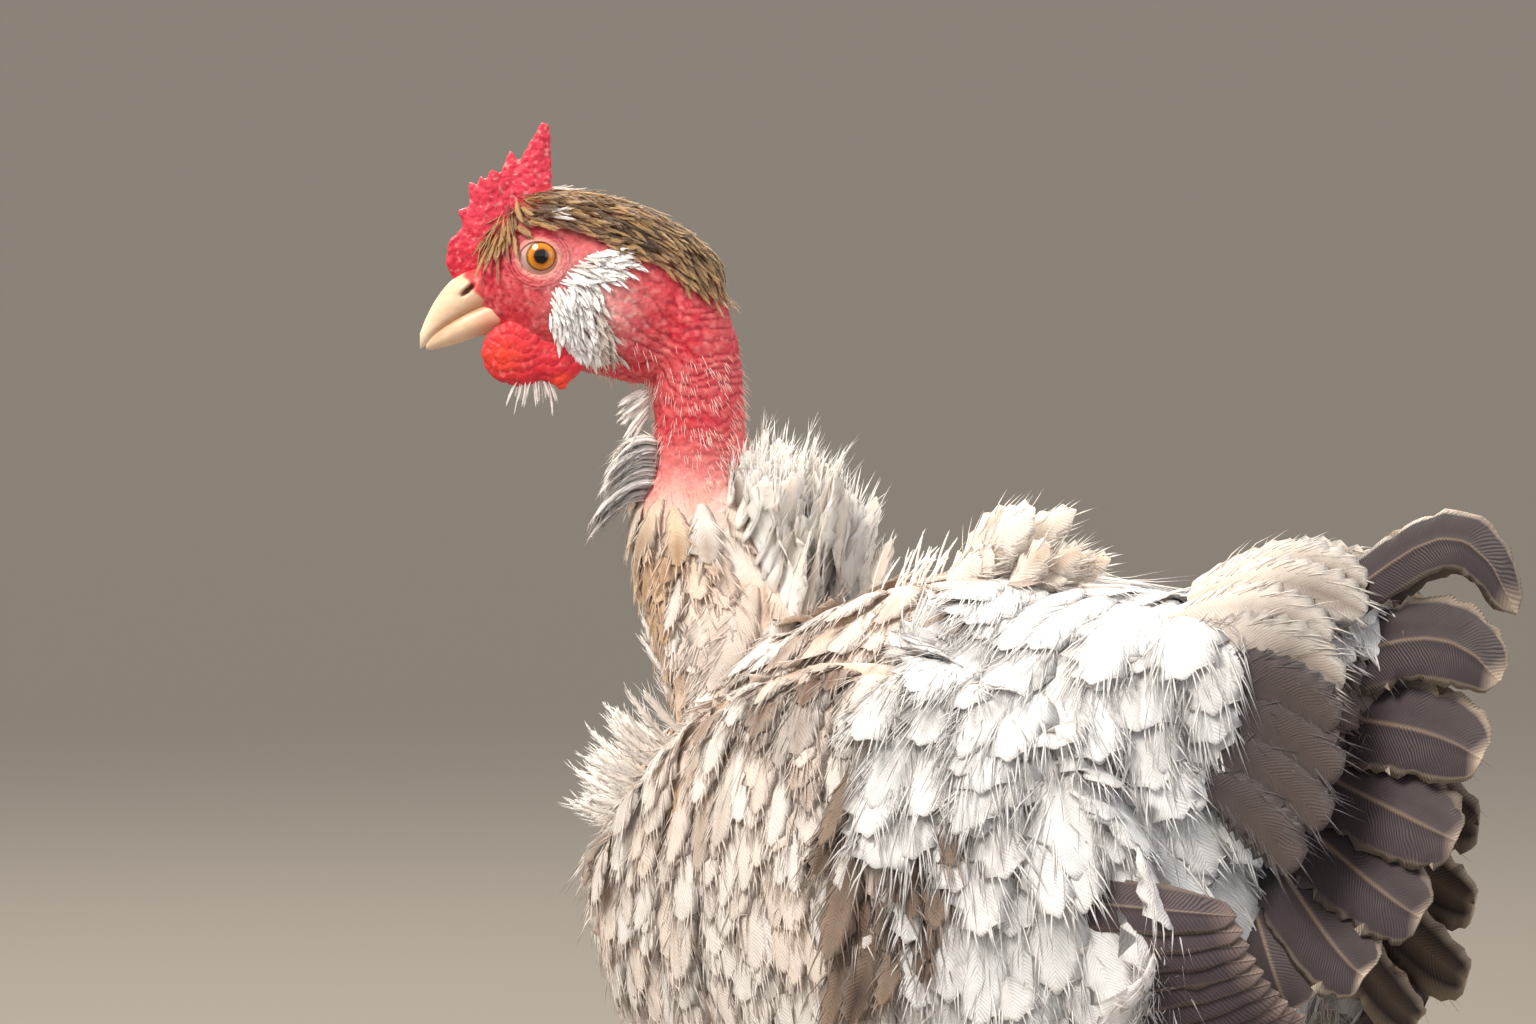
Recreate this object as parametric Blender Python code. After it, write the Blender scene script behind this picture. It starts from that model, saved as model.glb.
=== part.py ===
"""A naked neck hen, life size, standing with its head turned to its left.

Metres, +Z up. The body faces -X, its left side is towards -Y, and the hen stands on z = 0.
Each part of the bird is one closed solid, with its feathers or scales joined to it.
"""

import math
import random

import bmesh
import bpy
from mathutils import Vector

# Driving sizes of the whole bird
GAP = 0.0003
HEAD_TURN = math.radians(40)
HEAD_ORIGIN = Vector((-0.1125, -0.0293, 0.365))
FORWARD = Vector((-math.cos(HEAD_TURN), -math.sin(HEAD_TURN), 0))
LEFT = Vector((math.sin(HEAD_TURN), -math.cos(HEAD_TURN), 0))
UP = Vector((0, 0, 1))
ACROSS = Vector((0, 1, 0))
ALONG = Vector((1, 0, 0))

# Head: forward station, half width, top, bottom, measured from the point between the eyes
HEAD_ROWS = (
    (-0.0450, 0.0040, -0.0030, -0.0120),
    (-0.0415, 0.0082, 0.0010, -0.0210),
    (-0.0330, 0.0118, 0.0072, -0.0305),
    (-0.0260, 0.0132, 0.0105, -0.0336),
    (-0.0180, 0.0142, 0.0132, -0.0322),
    (-0.0080, 0.0146, 0.0152, -0.0298),
    (0.0000, 0.0138, 0.0155, -0.0270),
    (0.0070, 0.0114, 0.0128, -0.0228),
    (0.0120, 0.0084, 0.0066, -0.0190),
    (0.0155, 0.0056, -0.0004, -0.0164),
    (0.0176, 0.0028, -0.0060, -0.0140),
)
# Feathered cap of the crown, in the same way
CAP_ROWS = (
    (0.0110, 0.0050, 0.0132, 0.0090),
    (0.0060, 0.0090, 0.0164, 0.0040),
    (-0.0050, 0.0118, 0.0184, 0.0030),
    (-0.0160, 0.0132, 0.0166, -0.0010),
    (-0.0280, 0.0126, 0.0136, -0.0060),
    (-0.0370, 0.0104, 0.0090, -0.0110),
    (-0.0430, 0.0074, 0.0022, -0.0125),
    (-0.0475, 0.0046, -0.0060, -0.0140),
)
CAP_CORE_ROWS = CAP_ROWS[:6] + ((-0.0415, 0.0066, 0.0020, -0.0115),)
# Bare neck: forward station, height, half length and half width of each level section
NECK_ROWS = (
    (-0.0320, -0.0060, 0.0095, 0.0100),
    (-0.0355, -0.0140, 0.0120, 0.0115),
    (-0.0383, -0.0240, 0.0124, 0.0116),
    (-0.0400, -0.0350, 0.0119, 0.0113),
    (-0.0406, -0.0460, 0.0116, 0.0113),
    (-0.0412, -0.0550, 0.0124, 0.0121),
    (-0.0424, -0.0630, 0.0146, 0.0148),
    (-0.0440, -0.0710, 0.0175, 0.0180),
)
# Crop and neck base: x, y, z, half length, half width of each level section
CROP_ROWS = (
    (-0.0820, -0.0040, 0.3085, 0.0125, 0.0125),
    (-0.0812, -0.0040, 0.3050, 0.0155, 0.0160),
    (-0.0800, -0.0040, 0.2980, 0.0192, 0.0202),
    (-0.0760, -0.0030, 0.2870, 0.0222, 0.0242),
    (-0.0680, -0.0010, 0.2720, 0.0242, 0.0292),
    (-0.0580, 0.0000, 0.2550, 0.0252, 0.0332),
    (-0.0450, 0.0000, 0.2350, 0.0252, 0.0372),
)
# Body with its coat: x, half width, top, bottom
TORSO_ROWS = (
    (-0.0980, 0.0080, 0.2200, 0.1880),
    (-0.0900, 0.0290, 0.2370, 0.1650),
    (-0.0750, 0.0480, 0.2510, 0.1470),
    (-0.0500, 0.0580, 0.2700, 0.1330),
    (-0.0200, 0.0620, 0.2850, 0.1250),
    (0.0100, 0.0630, 0.2890, 0.1220),
    (0.0400, 0.0610, 0.2880, 0.1260),
    (0.0650, 0.0550, 0.2860, 0.1400),
    (0.0850, 0.0430, 0.2830, 0.1630),
    (0.1000, 0.0280, 0.2770, 0.1930),
    (0.1090, 0.0100, 0.2680, 0.2200),
)
# Rump that carries the tail
RUMP_ROWS = (
    (0.0660, 0.0360, 0.2850, 0.2080),
    (0.0880, 0.0320, 0.2878, 0.2130),
    (0.1080, 0.0250, 0.2896, 0.2220),
    (0.1220, 0.0180, 0.2900, 0.2340),
    (0.1320, 0.0120, 0.2890, 0.2480),
    (0.1380, 0.0050, 0.2860, 0.2640),
)
# Raised feathers round the back of the neck: x, y, z, half length, half width
CAPE_ROWS = (
    (-0.0450, 0.0000, 0.2660, 0.0270, 0.0290),
    (-0.0470, 0.0000, 0.2860, 0.0230, 0.0250),
    (-0.0505, 0.0000, 0.3000, 0.0160, 0.0185),
    (-0.0550, 0.0000, 0.3110, 0.0120, 0.0135),
    (-0.0570, 0.0000, 0.3180, 0.0090, 0.0095),
    (-0.0570, 0.0000, 0.3240, 0.0070, 0.0070),
)
# Tuft on the front of the neck base: centre, half sizes, and how far its locks reach as a share of them
NECK_TUFT = Vector((-0.0950, -0.0095, 0.3070))
NECK_TUFT_SIZE = (0.0062, 0.0080, 0.0095)
NECK_TUFT_REACH = 1.55

# Eyes and lids
EYE_RADIUS = 0.0062
EYE_SIDE = 0.0088
LID_RADIUS = 0.0054
LID_THICKNESS = 0.0011

# Upper and lower bill: forward station, half width, top, bottom
BILL_TOP_ROWS = (
    (0.0080, 0.0075, -0.0040, -0.0134),
    (0.0150, 0.0068, -0.0030, -0.0146),
    (0.0200, 0.0060, -0.0046, -0.0168),
    (0.0240, 0.0048, -0.0074, -0.0192),
    (0.0275, 0.0035, -0.0118, -0.0216),
    (0.0300, 0.0023, -0.0165, -0.0236),
    (0.0316, 0.0010, -0.0205, -0.0246),
)
BILL_LOW_ROWS = (
    (0.0060, 0.0072, -0.0150, -0.0190),
    (0.0130, 0.0064, -0.0150, -0.0204),
    (0.0190, 0.0053, -0.0172, -0.0222),
    (0.0240, 0.0040, -0.0198, -0.0238),
    (0.0280, 0.0025, -0.0222, -0.0247),
    (0.0298, 0.0010, -0.0238, -0.0249),
)
NOSTRIL = (0.0185, 0.0056, -0.0092)
NOSTRIL_SIZE = (0.0024, 0.0012, 0.0009)
NOSTRIL_TILT = math.radians(42)

# Comb, from its front round to its back: forward station and height of its root and of its rim
COMB_ROOT = (
    (0.0160, -0.0100), (0.0150, -0.0075), (0.0135, -0.0045), (0.0120, -0.0015), (0.0108, 0.0010), (0.0098, 0.0030),
    (0.0085, 0.0050), (0.0075, 0.0062), (0.0065, 0.0072), (0.0055, 0.0080), (0.0045, 0.0087), (0.0030, 0.0094),
    (0.0015, 0.0100), (0.0000, 0.0104), (-0.0010, 0.0108), (-0.0015, 0.0110), (-0.0020, 0.0112), (-0.0025, 0.0114),
    (-0.0030, 0.0115),
)
COMB_RIM = (
    (0.0228, -0.0072), (0.0250, -0.0022), (0.0240, 0.0030), (0.0205, 0.0072), (0.0218, 0.0112), (0.0187, 0.0122),
    (0.0190, 0.0187), (0.0166, 0.0174), (0.0158, 0.0204), (0.0145, 0.0190), (0.0130, 0.0221), (0.0108, 0.0205),
    (0.0082, 0.0268), (0.0060, 0.0236), (0.0032, 0.0285), (0.0004, 0.0338), (-0.0018, 0.0334), (-0.0022, 0.0270),
    (-0.0022, 0.0185),
)
COMB_HALF = ((0.0, 0.0022), (0.5, 0.0017), (0.85, 0.0011), (1.0, 0.0005))

# Wattles: centre, half sizes
WATTLE_CENTRE = (0.0058, 0.0072, -0.0252)
WATTLE_SIZE = (0.0098, 0.0028, 0.0088)
WATTLE_BACK = (-0.0035, 0.0075, -0.0268)
WATTLE_BACK_SIZE = (0.0078, 0.0024, 0.0064)

# Folded wing: the middle and reach of the rounded surface it lies on, and the shell that its feathers grow from
WING_MIDDLE = Vector((0.0120, 0.0, 0.2060))
WING_REACH = Vector((0.1280, 0.0635, 0.0860))
WING_SHELL_MIDDLE = -0.0200
WING_SHELL_REACH = 0.0600
WING_SHELL_TURN = math.radians(44)
WING_SHELL_THICKNESS = 0.0036

# Tail: roots of each half's feathers, then tip, height of the bow and half width of each, from the top one down
TAIL_ROOT_TOP = Vector((0.0980, 0.0070, 0.2790))
TAIL_ROOT_LOW = Vector((0.0960, 0.0085, 0.2250))
TAIL_LEFT = (
    ((0.1790, 0.0045, 0.2855), 0.0190, 0.0075),
    ((0.1750, 0.0062, 0.2690), 0.0090, 0.0105),
    ((0.1715, 0.0085, 0.2500), 0.0030, 0.0115),
    ((0.1665, 0.0120, 0.2300), 0.0, 0.0115),
    ((0.1590, 0.0160, 0.2110), -0.0010, 0.0115),
    ((0.1450, 0.0200, 0.1960), -0.0020, 0.0110),
    ((0.1260, 0.0235, 0.1860), -0.0030, 0.0105),
)
TAIL_RIGHT = (
    ((0.1690, 0.0045, 0.2850), 0.0170, 0.0075),
    ((0.1640, 0.0064, 0.2690), 0.0080, 0.0105),
    ((0.1600, 0.0088, 0.2510), 0.0030, 0.0115),
    ((0.1560, 0.0120, 0.2310), 0.0, 0.0115),
    ((0.1520, 0.0158, 0.2110), -0.0010, 0.0115),
    ((0.1470, 0.0196, 0.1920), -0.0020, 0.0110),
    ((0.1300, 0.0228, 0.1800), -0.0030, 0.0105),
)
TAIL_LEAN = 0.30

# Legs, for the hen's left side, which is mirrored for the right
FOOT_X = 0.010
FOOT_Y = 0.0365
HOCK = Vector((0.0400, -0.0375, 0.0880))
ANKLE = Vector((FOOT_X + 0.0015, -FOOT_Y, 0.0125))
HUB_SIZE = (0.0082, 0.0076, 0.0074)
SHANK_RADIUS = 0.0048
HOCK_RADIUS = 0.0072
SCUTES = 10
SCUTE_HEIGHT = 0.0005
THIGH_ROWS = (
    (-0.0020, -0.0320, 0.1720, 0.0330, 0.0200),
    (0.0060, -0.0370, 0.1500, 0.0330, 0.0210),
    (0.0180, -0.0395, 0.1280, 0.0250, 0.0190),
    (0.0300, -0.0388, 0.1080, 0.0145, 0.0125),
    (0.0385, -0.0378, 0.0930, 0.0088, 0.0086),
    (0.0400, -0.0376, 0.0880, 0.0086, 0.0084),
)
TOE_RADIUS = 0.0043
# Toes: angle from straight ahead, towards the outside, and length without the claw
TOES = ((math.radians(4), 0.048), (math.radians(-36), 0.038), (math.radians(40), 0.042), (math.radians(196), 0.019))
CLAW_LENGTH = 0.011
CLAW_RADIUS = 0.0023

# Feather shapes: how far along, share of the width, share of the thickness
QUILL = ((0.0, 0.45, 1.0), (0.3, 0.85, 1.0), (0.62, 1.0, 0.9), (0.88, 0.88, 0.8), (1.0, 0.34, 0.6))
LOCK = ((0.0, 0.55, 1.0), (0.4, 1.0, 1.0), (0.8, 0.78, 0.8), (1.0, 0.16, 0.5))


def clear_scene():
    for obj in list(bpy.data.objects):
        bpy.data.objects.remove(obj)


def finish(name, hex_colour, roughness):
    """A plain material from an sRGB hex colour."""
    channels = [int(hex_colour[i:i + 2], 16) / 255 for i in (0, 2, 4)]
    linear = [c / 12.92 if c <= 0.04045 else ((c + 0.055) / 1.055) ** 2.4 for c in channels]
    material = bpy.data.materials.new(name)
    material.use_nodes = True
    shader = material.node_tree.nodes["Principled BSDF"]
    shader.inputs["Base Color"].default_value = (*linear, 1)
    shader.inputs["Roughness"].default_value = roughness
    return material


def smooth_rows(rows, steps):
    """The rows with steps - 1 Catmull-Rom rows added between each two."""
    made = []
    for i in range(len(rows) - 1):
        four = rows[max(i - 1, 0)], rows[i], rows[i + 1], rows[min(i + 2, len(rows) - 1)]
        for k in range(steps):
            t = k / steps
            made.append([
                0.5 * (2 * b + (c - a) * t + (2 * a - 5 * b + 4 * c - d) * t * t + (3 * b - a - 3 * c + d) * t ** 3)
                for a, b, c, d in zip(*four)
            ])
    made.append(list(rows[-1]))
    return made


def head_point(forward, left, up):
    """The place of a point given in the turned head's own directions."""
    return HEAD_ORIGIN + FORWARD * forward + LEFT * left + UP * up


def head_ring(row):
    """Centre, side reach and upward reach of an upright section of the head."""
    station, half, top, bottom = row
    return head_point(station, 0, (top + bottom) / 2), LEFT * half, UP * ((top - bottom) / 2)


def neck_ring(row):
    """Centre and reaches of a level section of the bare neck."""
    forward, up, half_length, half_width = row
    return head_point(forward, 0, up), FORWARD * half_length, LEFT * half_width


def level_ring(row):
    """Centre and reaches of a level section of the body."""
    x, y, z, half_length, half_width = row
    return Vector((x, y, z)), ALONG * half_length, ACROSS * half_width


def upright_ring(row):
    """Centre, leftward reach and upward reach of an upright section of the body."""
    x, half, top, bottom = row
    return Vector((x, 0, (top + bottom) / 2)), ACROSS * -half, UP * ((top - bottom) / 2)


def outward(bm):
    """Turns every face of a closed form outwards."""
    bm.normal_update()
    bmesh.ops.recalc_face_normals(bm, faces=bm.faces)
    return bm


def loft(rings, fan=True):
    """A closed mesh through rings of points, with a fan or one flat face over each end."""
    bm = bmesh.new()
    loops = [[bm.verts.new(point) for point in ring] for ring in rings]
    for low, high in zip(loops, loops[1:]):
        for i, corner in enumerate(low):
            j = (i + 1) % len(low)
            bm.faces.new((corner, low[j], high[j], high[i]))
    for loop in (loops[0], loops[-1]):
        if not fan:
            bm.faces.new(loop)
            continue
        middle = bm.verts.new(sum((v.co for v in loop), Vector()) / len(loop))
        for i, corner in enumerate(loop):
            bm.faces.new((corner, loop[(i + 1) % len(loop)], middle))
    return outward(bm)


def closed_loop(rings):
    """A mesh through rings that come round to the first again."""
    bm = bmesh.new()
    loops = [[bm.verts.new(point) for point in ring] for ring in rings]
    for k, low in enumerate(loops):
        high = loops[(k + 1) % len(loops)]
        for i, corner in enumerate(low):
            j = (i + 1) % len(low)
            bm.faces.new((corner, low[j], high[j], high[i]))
    return outward(bm)


def oval(centre, side, rise, count):
    """A ring of points round the centre, reaching side one way and rise the other."""
    turns = [2 * math.pi * i / count for i in range(count)]
    return [centre + side * math.cos(turn) + rise * math.sin(turn) for turn in turns]


def body(ring, rows, count, steps=1):
    """A rounded form through the rows of sizes, each turned into a section by the ring function."""
    return loft([oval(*ring(row), count) for row in smooth_rows(rows, steps)])


def tube(path, radii, count, flatten=1.0):
    """A round loft along a path, with flatten as its height over its width."""
    rings = []
    for i, (point, radius) in enumerate(zip(path, radii)):
        along = (path[min(i + 1, len(path) - 1)] - path[max(i - 1, 0)]).normalized()
        side = along.cross(UP) if abs(along.z) < 0.9 else along.cross(ALONG)
        side.normalize()
        rings.append(oval(point, side * radius, side.cross(along) * radius * flatten, count))
    return loft(rings)


def ball(centre, size, axes=None, segments=14, rings=8):
    """An egg-shaped ball with half sizes along the three axes given."""
    bm = bmesh.new()
    bmesh.ops.create_uvsphere(bm, u_segments=segments, v_segments=rings, radius=1.0)
    axes = axes or (FORWARD, LEFT, UP)
    for v in bm.verts:
        v.co = centre + sum((axis * reach * c for axis, reach, c in zip(axes, size, v.co.copy())), Vector())
    return outward(bm)


def over(ring, rows, column):
    """A function for points over a form: place along it, turn round it and height over its surface."""
    fine = smooth_rows(rows, 5)

    def row_at(place):
        for low, high in zip(fine, fine[1:]):
            if (place - low[column]) * (place - high[column]) <= 0 and low[column] != high[column]:
                t = (place - low[column]) / (high[column] - low[column])
                return [a + (b - a) * t for a, b in zip(low, high)]
        return min((fine[0], fine[-1]), key=lambda row: abs(row[column] - place))

    def base(place, turn):
        centre, side, rise = ring(row_at(place))
        return centre + side * math.cos(turn) + rise * math.sin(turn), centre

    def point(place, turn, lift):
        here, centre = base(place, turn)
        along = base(place + 0.002, turn)[0] - base(place - 0.002, turn)[0]
        out = along.cross(base(place, turn + 0.05)[0] - base(place, turn - 0.05)[0]).normalized()
        if out.dot(here - centre) < 0:
            out = -out
        return here + out * lift, out

    return point


def over_wing(x, turn, lift):
    """A point over the rounded surface that the left wing lies on."""
    share = (x - WING_MIDDLE.x) / WING_REACH.x
    size = math.sqrt(max(0.06, 1 - share * share))
    y = -size * WING_REACH.y * math.cos(turn)
    z = size * WING_REACH.z * math.sin(turn)
    out = Vector((share / WING_REACH.x, y / WING_REACH.y ** 2, z / WING_REACH.z ** 2)).normalized()
    return Vector((x, y, WING_MIDDLE.z + z)) + out * lift, out


def vane(points, outs, half, thick, lean=0.0, shape=QUILL):
    """A feather: a low ridged section carried along its points, one edge raised by the lean."""
    rings = []
    for i, (point, out) in enumerate(zip(points, outs)):
        along = (points[min(i + 1, len(points) - 1)] - points[max(i - 1, 0)]).normalized()
        side = along.cross(out).normalized()
        ridge = side.cross(along) * (thick * shape[i][2])
        edge = (side + out * lean).normalized() * (half * shape[i][1])
        rings.append([point + edge, point + ridge, point - edge])
    return loft(rings, fan=False)


def lay(surface, places, turns, lifts, half, thick, lean=0.0, shape=LOCK):
    """One feather over a surface, from its root to its tip."""
    steps = [
        surface(*(pair[0] + (pair[1] - pair[0]) * t for pair in (places, turns, lifts)))
        for t, _, _ in shape
    ]
    return vane([step[0] for step in steps], [step[1] for step in steps], half, thick, lean, shape)


def tier(surface, places, turns, count, half, thick, lifts, lean=0.0, shape=LOCK, drift=0.0):
    """A row of feathers side by side over a surface, with slightly uneven lengths."""
    forms = []
    for i in range(count):
        turn = math.radians(turns[0] + (turns[1] - turns[0]) * i / max(count - 1, 1))
        tip = places[1] + (places[1] - places[0]) * DRAW.uniform(-0.06, 0.06)
        side = -1 if math.cos(turn) < 0 else 1
        path = (turn, turn + math.radians(drift) * side)
        forms.append(lay(surface, (places[0], tip), path, lifts, half, thick, lean * side, shape))
    return forms


def solid(bm, name="piece"):
    """An object outside the hen, for a Boolean, which is removed once it has been used."""
    mesh = bpy.data.meshes.new(name)
    bm.to_mesh(mesh)
    bm.free()
    return bpy.data.objects.new(name, mesh)


def add(name, material, *forms):
    """Joins closed forms as one object of the hen, and keeps a copy of each for cutting its neighbours."""
    SHAPES[name] = [form.copy() for form in forms]
    obj = solid(forms[0], name)
    obj.data.materials.append(material)
    HEN.objects.link(obj)
    if len(forms) > 1:
        boolean(obj, "UNION", [solid(form) for form in forms[1:]])
    return obj


def is_closed(mesh):
    """True where every edge of the mesh has two faces."""
    bm = bmesh.new()
    bm.from_mesh(mesh)
    closed = len(bm.faces) > 0 and all(len(edge.link_faces) == 2 for edge in bm.edges)
    bm.free()
    return closed


def boolean(obj, operation, others):
    """Applies one Boolean of the object with the others, and removes them."""
    work = bpy.data.collections.new("work")
    bpy.context.scene.collection.children.link(work)
    for other in others:
        work.objects.link(other)
    modifier = obj.modifiers.new(operation, "BOOLEAN")
    modifier.operation = operation
    modifier.operand_type = "COLLECTION"
    modifier.collection = work
    for solver in ("MANIFOLD", "EXACT"):
        modifier.solver = solver
        graph = bpy.context.evaluated_depsgraph_get()
        made = bpy.data.meshes.new_from_object(obj.evaluated_get(graph))
        if is_closed(made):
            break
    obj.modifiers.clear()
    obj.data = made
    for other in others:
        bpy.data.objects.remove(other)
    bpy.data.collections.remove(work)
    keep_largest(obj)


def keep_largest(obj):
    """Leaves only the object's largest closed surface, counted by faces that share edges."""
    bm = bmesh.new()
    bm.from_mesh(obj.data)
    left = set(bm.faces)
    groups = []
    while left:
        group = {left.pop()}
        border = set(group)
        while border:
            reached = {face for known in border for edge in known.edges for face in edge.link_faces}
            border = reached - group
            group |= border
        left -= group
        groups.append(group)
    groups.sort(key=len)
    for group in groups[:-1]:
        bmesh.ops.delete(bm, geom=list(group), context="FACES")
    bm.to_mesh(obj.data)
    bm.free()


def grown(form, by=GAP):
    """A copy of a closed form, larger by the gap all round, to cut its neighbour with."""
    bm = form.copy()
    bm.normal_update()
    moves = [(v, v.normal * by * min(v.calc_shell_factor(), 3.0)) for v in bm.verts]
    for v, move in moves:
        v.co += move
    return solid(bm, "cutter")


def meet(obj, *neighbours):
    """Cuts the object back to a gap from its neighbours."""
    cutters = [grown(form) for neighbour in neighbours for form in SHAPES[neighbour.name]]
    boolean(obj, "DIFFERENCE", cutters)
    return obj


def mirrored(obj, name):
    """The same shape on the hen's right side."""
    bm = bmesh.new()
    bm.from_mesh(obj.data)
    for v in bm.verts:
        v.co.y = -v.co.y
    bmesh.ops.reverse_faces(bm, faces=bm.faces)
    return add(name, obj.data.materials[0], bm)


def make_head():
    """Skull and face with lids round the eyes; the sockets hold the eyes."""
    eyes = []
    for name, side in (("eye_left", 1), ("eye_right", -1)):
        eye = ball(head_point(0, side * EYE_SIDE, 0), (EYE_RADIUS,) * 3, (FORWARD, UP, LEFT * side))
        eyes.append(add(name, EYE, eye))
    head = add("head", SKIN, body(head_ring, HEAD_ROWS, 16, 2), lid_ring(1), lid_ring(-1))
    return meet(head, *eyes)


def lid_ring(side):
    """The swollen edge of the two lids: a ring set on the side of the head."""
    rings = []
    for i in range(14):
        turn = 2 * math.pi * i / 14
        out = FORWARD * math.cos(turn) * 1.06 + UP * math.sin(turn) * 0.92
        centre = head_point(0, side * 0.0124, 0) + out * LID_RADIUS
        rings.append(oval(centre, out * LID_THICKNESS, LEFT * LID_THICKNESS * 1.5, 6))
    return closed_loop(rings)


def make_bill(head):
    """The two halves of the bill, with the nostrils sunk in the upper one."""
    upper = meet(add("bill_upper", HORN, body(head_ring, BILL_TOP_ROWS, 14)), head)
    along = FORWARD * -math.cos(NOSTRIL_TILT) + UP * math.sin(NOSTRIL_TILT)
    across = FORWARD * math.sin(NOSTRIL_TILT) + UP * math.cos(NOSTRIL_TILT)
    forward, left, up = NOSTRIL
    pits = [
        ball(head_point(forward, side * left, up), NOSTRIL_SIZE, (along, LEFT * side, across), 8, 5)
        for side in (1, -1)
    ]
    boolean(upper, "DIFFERENCE", [solid(pit) for pit in pits])
    lower = meet(add("bill_lower", HORN, body(head_ring, BILL_LOW_ROWS, 12)), head, upper)
    return upper, lower


def make_comb(*clear_of):
    """The single comb: thick at its root, thin at its points, and waving a little from side to side."""
    rings = []
    for root, rim in zip(COMB_ROOT, COMB_RIM):
        near, far = [], []
        for part, half in COMB_HALF:
            forward = root[0] + (rim[0] - root[0]) * part
            up = root[1] + (rim[1] - root[1]) * part
            wave = 0.0010 * part * math.sin(forward * 500 + 1)
            near.append(head_point(forward, wave + half, up))
            far.append(head_point(forward, wave - half, up))
        rings.append(near + far[::-1])
    return meet(add("comb", COMB, loft(rings)), *clear_of)


def make_cap(*clear_of):
    """The crown's cap: tiers of short feathers laid back from the comb, the last hanging over the nape."""
    surface = over(head_ring, CAP_ROWS, 0)
    forms = [body(head_ring, CAP_CORE_ROWS, 14)]
    forms += tier(surface, (0.0040, -0.0120), (42, 138), 4, 0.0042, 0.0009, (-0.0004, 0.0014), 0.22)
    forms += tier(surface, (-0.0080, -0.0250), (26, 154), 5, 0.0050, 0.0009, (-0.0004, 0.0016), 0.22)
    forms += tier(surface, (-0.0200, -0.0360), (18, 162), 5, 0.0052, 0.0009, (-0.0004, 0.0016), 0.22)
    forms += tier(surface, (-0.0310, -0.0465), (22, 158), 5, 0.0042, 0.0009, (-0.0006, 0.0012), 0.22)
    return meet(add("crown_cap", CAP, *forms), *clear_of)


def make_wattle(name, side, *clear_of):
    """A wattle of two lobes under the bill and the cheek."""
    lobes = []
    for (forward, left, up), size in ((WATTLE_CENTRE, WATTLE_SIZE), (WATTLE_BACK, WATTLE_BACK_SIZE)):
        lobes.append(ball(head_point(forward, side * left, up), size, None, 12, 7))
    return meet(add(name, COMB, *lobes), *clear_of)


def make_ear(name, side, *clear_of):
    """The tuft of stiff feathers over the ear."""
    surface = over(head_ring, HEAD_ROWS, 0)
    axes = (FORWARD * 0.42 + UP * 0.9, LEFT * side, FORWARD * 0.9 - UP * 0.42)
    forms = [ball(head_point(-0.0110, side * 0.0136, -0.0110), (0.0126, 0.0018, 0.0062), axes, 12, 6)]
    for first, last, count, root, tip in ((20, -44, 5, -0.0070, -0.0195), (0, -38, 3, -0.0030, -0.0125)):
        for i in range(count):
            turn = math.radians(first + (last - first) * i / (count - 1))
            drop = math.radians(-9)
            turns = (turn, turn + drop) if side > 0 else (math.pi - turn, math.pi - turn - drop)
            forms.append(lay(surface, (root, tip), turns, (-0.0002, 0.0024), 0.0030, 0.0009, 0.2 * side))
    return meet(add(name, DOWN, *forms), *clear_of)


def make_crop(torso):
    """The feathered base of the neck, with locks that lie down over it."""
    surface = over(level_ring, CROP_ROWS, 2)
    forms = [body(level_ring, CROP_ROWS, 18)]
    for places, count, half in (((0.3010, 0.2800), 6, 0.0076), ((0.2850, 0.2600), 7, 0.0088)):
        for i in range(count):
            turn = math.radians(95 + 170 * i / (count - 1))
            forms.append(lay(surface, places, (turn, turn), (-0.0006, 0.0017), half, 0.0009, 0.12))
    return meet(add("crop", BUFF, *forms), torso)


def make_cape(*clear_of):
    """Feathers that stand up behind the neck, in two tiers."""
    surface = over(level_ring, CAPE_ROWS, 2)
    forms = [body(level_ring, CAPE_ROWS[:4] + ((-0.0560, 0.0, 0.3150, 0.0080, 0.0085),), 16)]
    for places, count, half, lifts in (
        ((0.2820, 0.3040), 7, 0.0070, (-0.0008, 0.0034)),
        ((0.2990, 0.3215), 7, 0.0052, (-0.0008, 0.0026)),
    ):
        for i in range(count):
            turn = math.radians(-105 + 210 * i / (count - 1))
            forms.append(lay(surface, places, (turn, turn), lifts, half, 0.0010, 0.14))
    return meet(add("cape", WHITE, *forms), *clear_of)


def make_neck_tuft(*clear_of):
    """The small tuft on the front of the neck base: locks that spread from its middle."""
    forms = [ball(NECK_TUFT, NECK_TUFT_SIZE, (ALONG, ACROSS, UP), 12, 7)]
    for i in range(7):
        turn = 2 * math.pi * i / 7
        spoke = ACROSS * math.cos(turn) * NECK_TUFT_SIZE[1] + UP * math.sin(turn) * NECK_TUFT_SIZE[2]
        steps = [NECK_TUFT - ALONG * 0.0035 * math.sin(math.pi * t) + spoke * NECK_TUFT_REACH * t for t, _, _ in LOCK]
        forms.append(vane(steps, [-ALONG] * len(LOCK), 0.0032, 0.0010, 0.15, LOCK))
    return meet(add("neck_tuft", DOWN, *forms), *clear_of)


def make_torso():
    """The body, with tiers of raised feathers along its back."""
    surface = over(upright_ring, TORSO_ROWS, 0)
    forms = [body(upright_ring, TORSO_ROWS, 20, 2)]
    forms += tier(surface, (-0.0080, 0.0240), (68, 112), 3, 0.0095, 0.0012, (-0.0010, 0.0080), 0.10, QUILL)
    forms += tier(surface, (0.0130, 0.0440), (60, 120), 4, 0.0095, 0.0012, (-0.0010, 0.0060), 0.10, QUILL)
    forms += tier(surface, (0.0330, 0.0610), (68, 112), 3, 0.0095, 0.0012, (-0.0010, 0.0032), 0.10, QUILL)
    return add("torso", WHITE, *forms)


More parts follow.
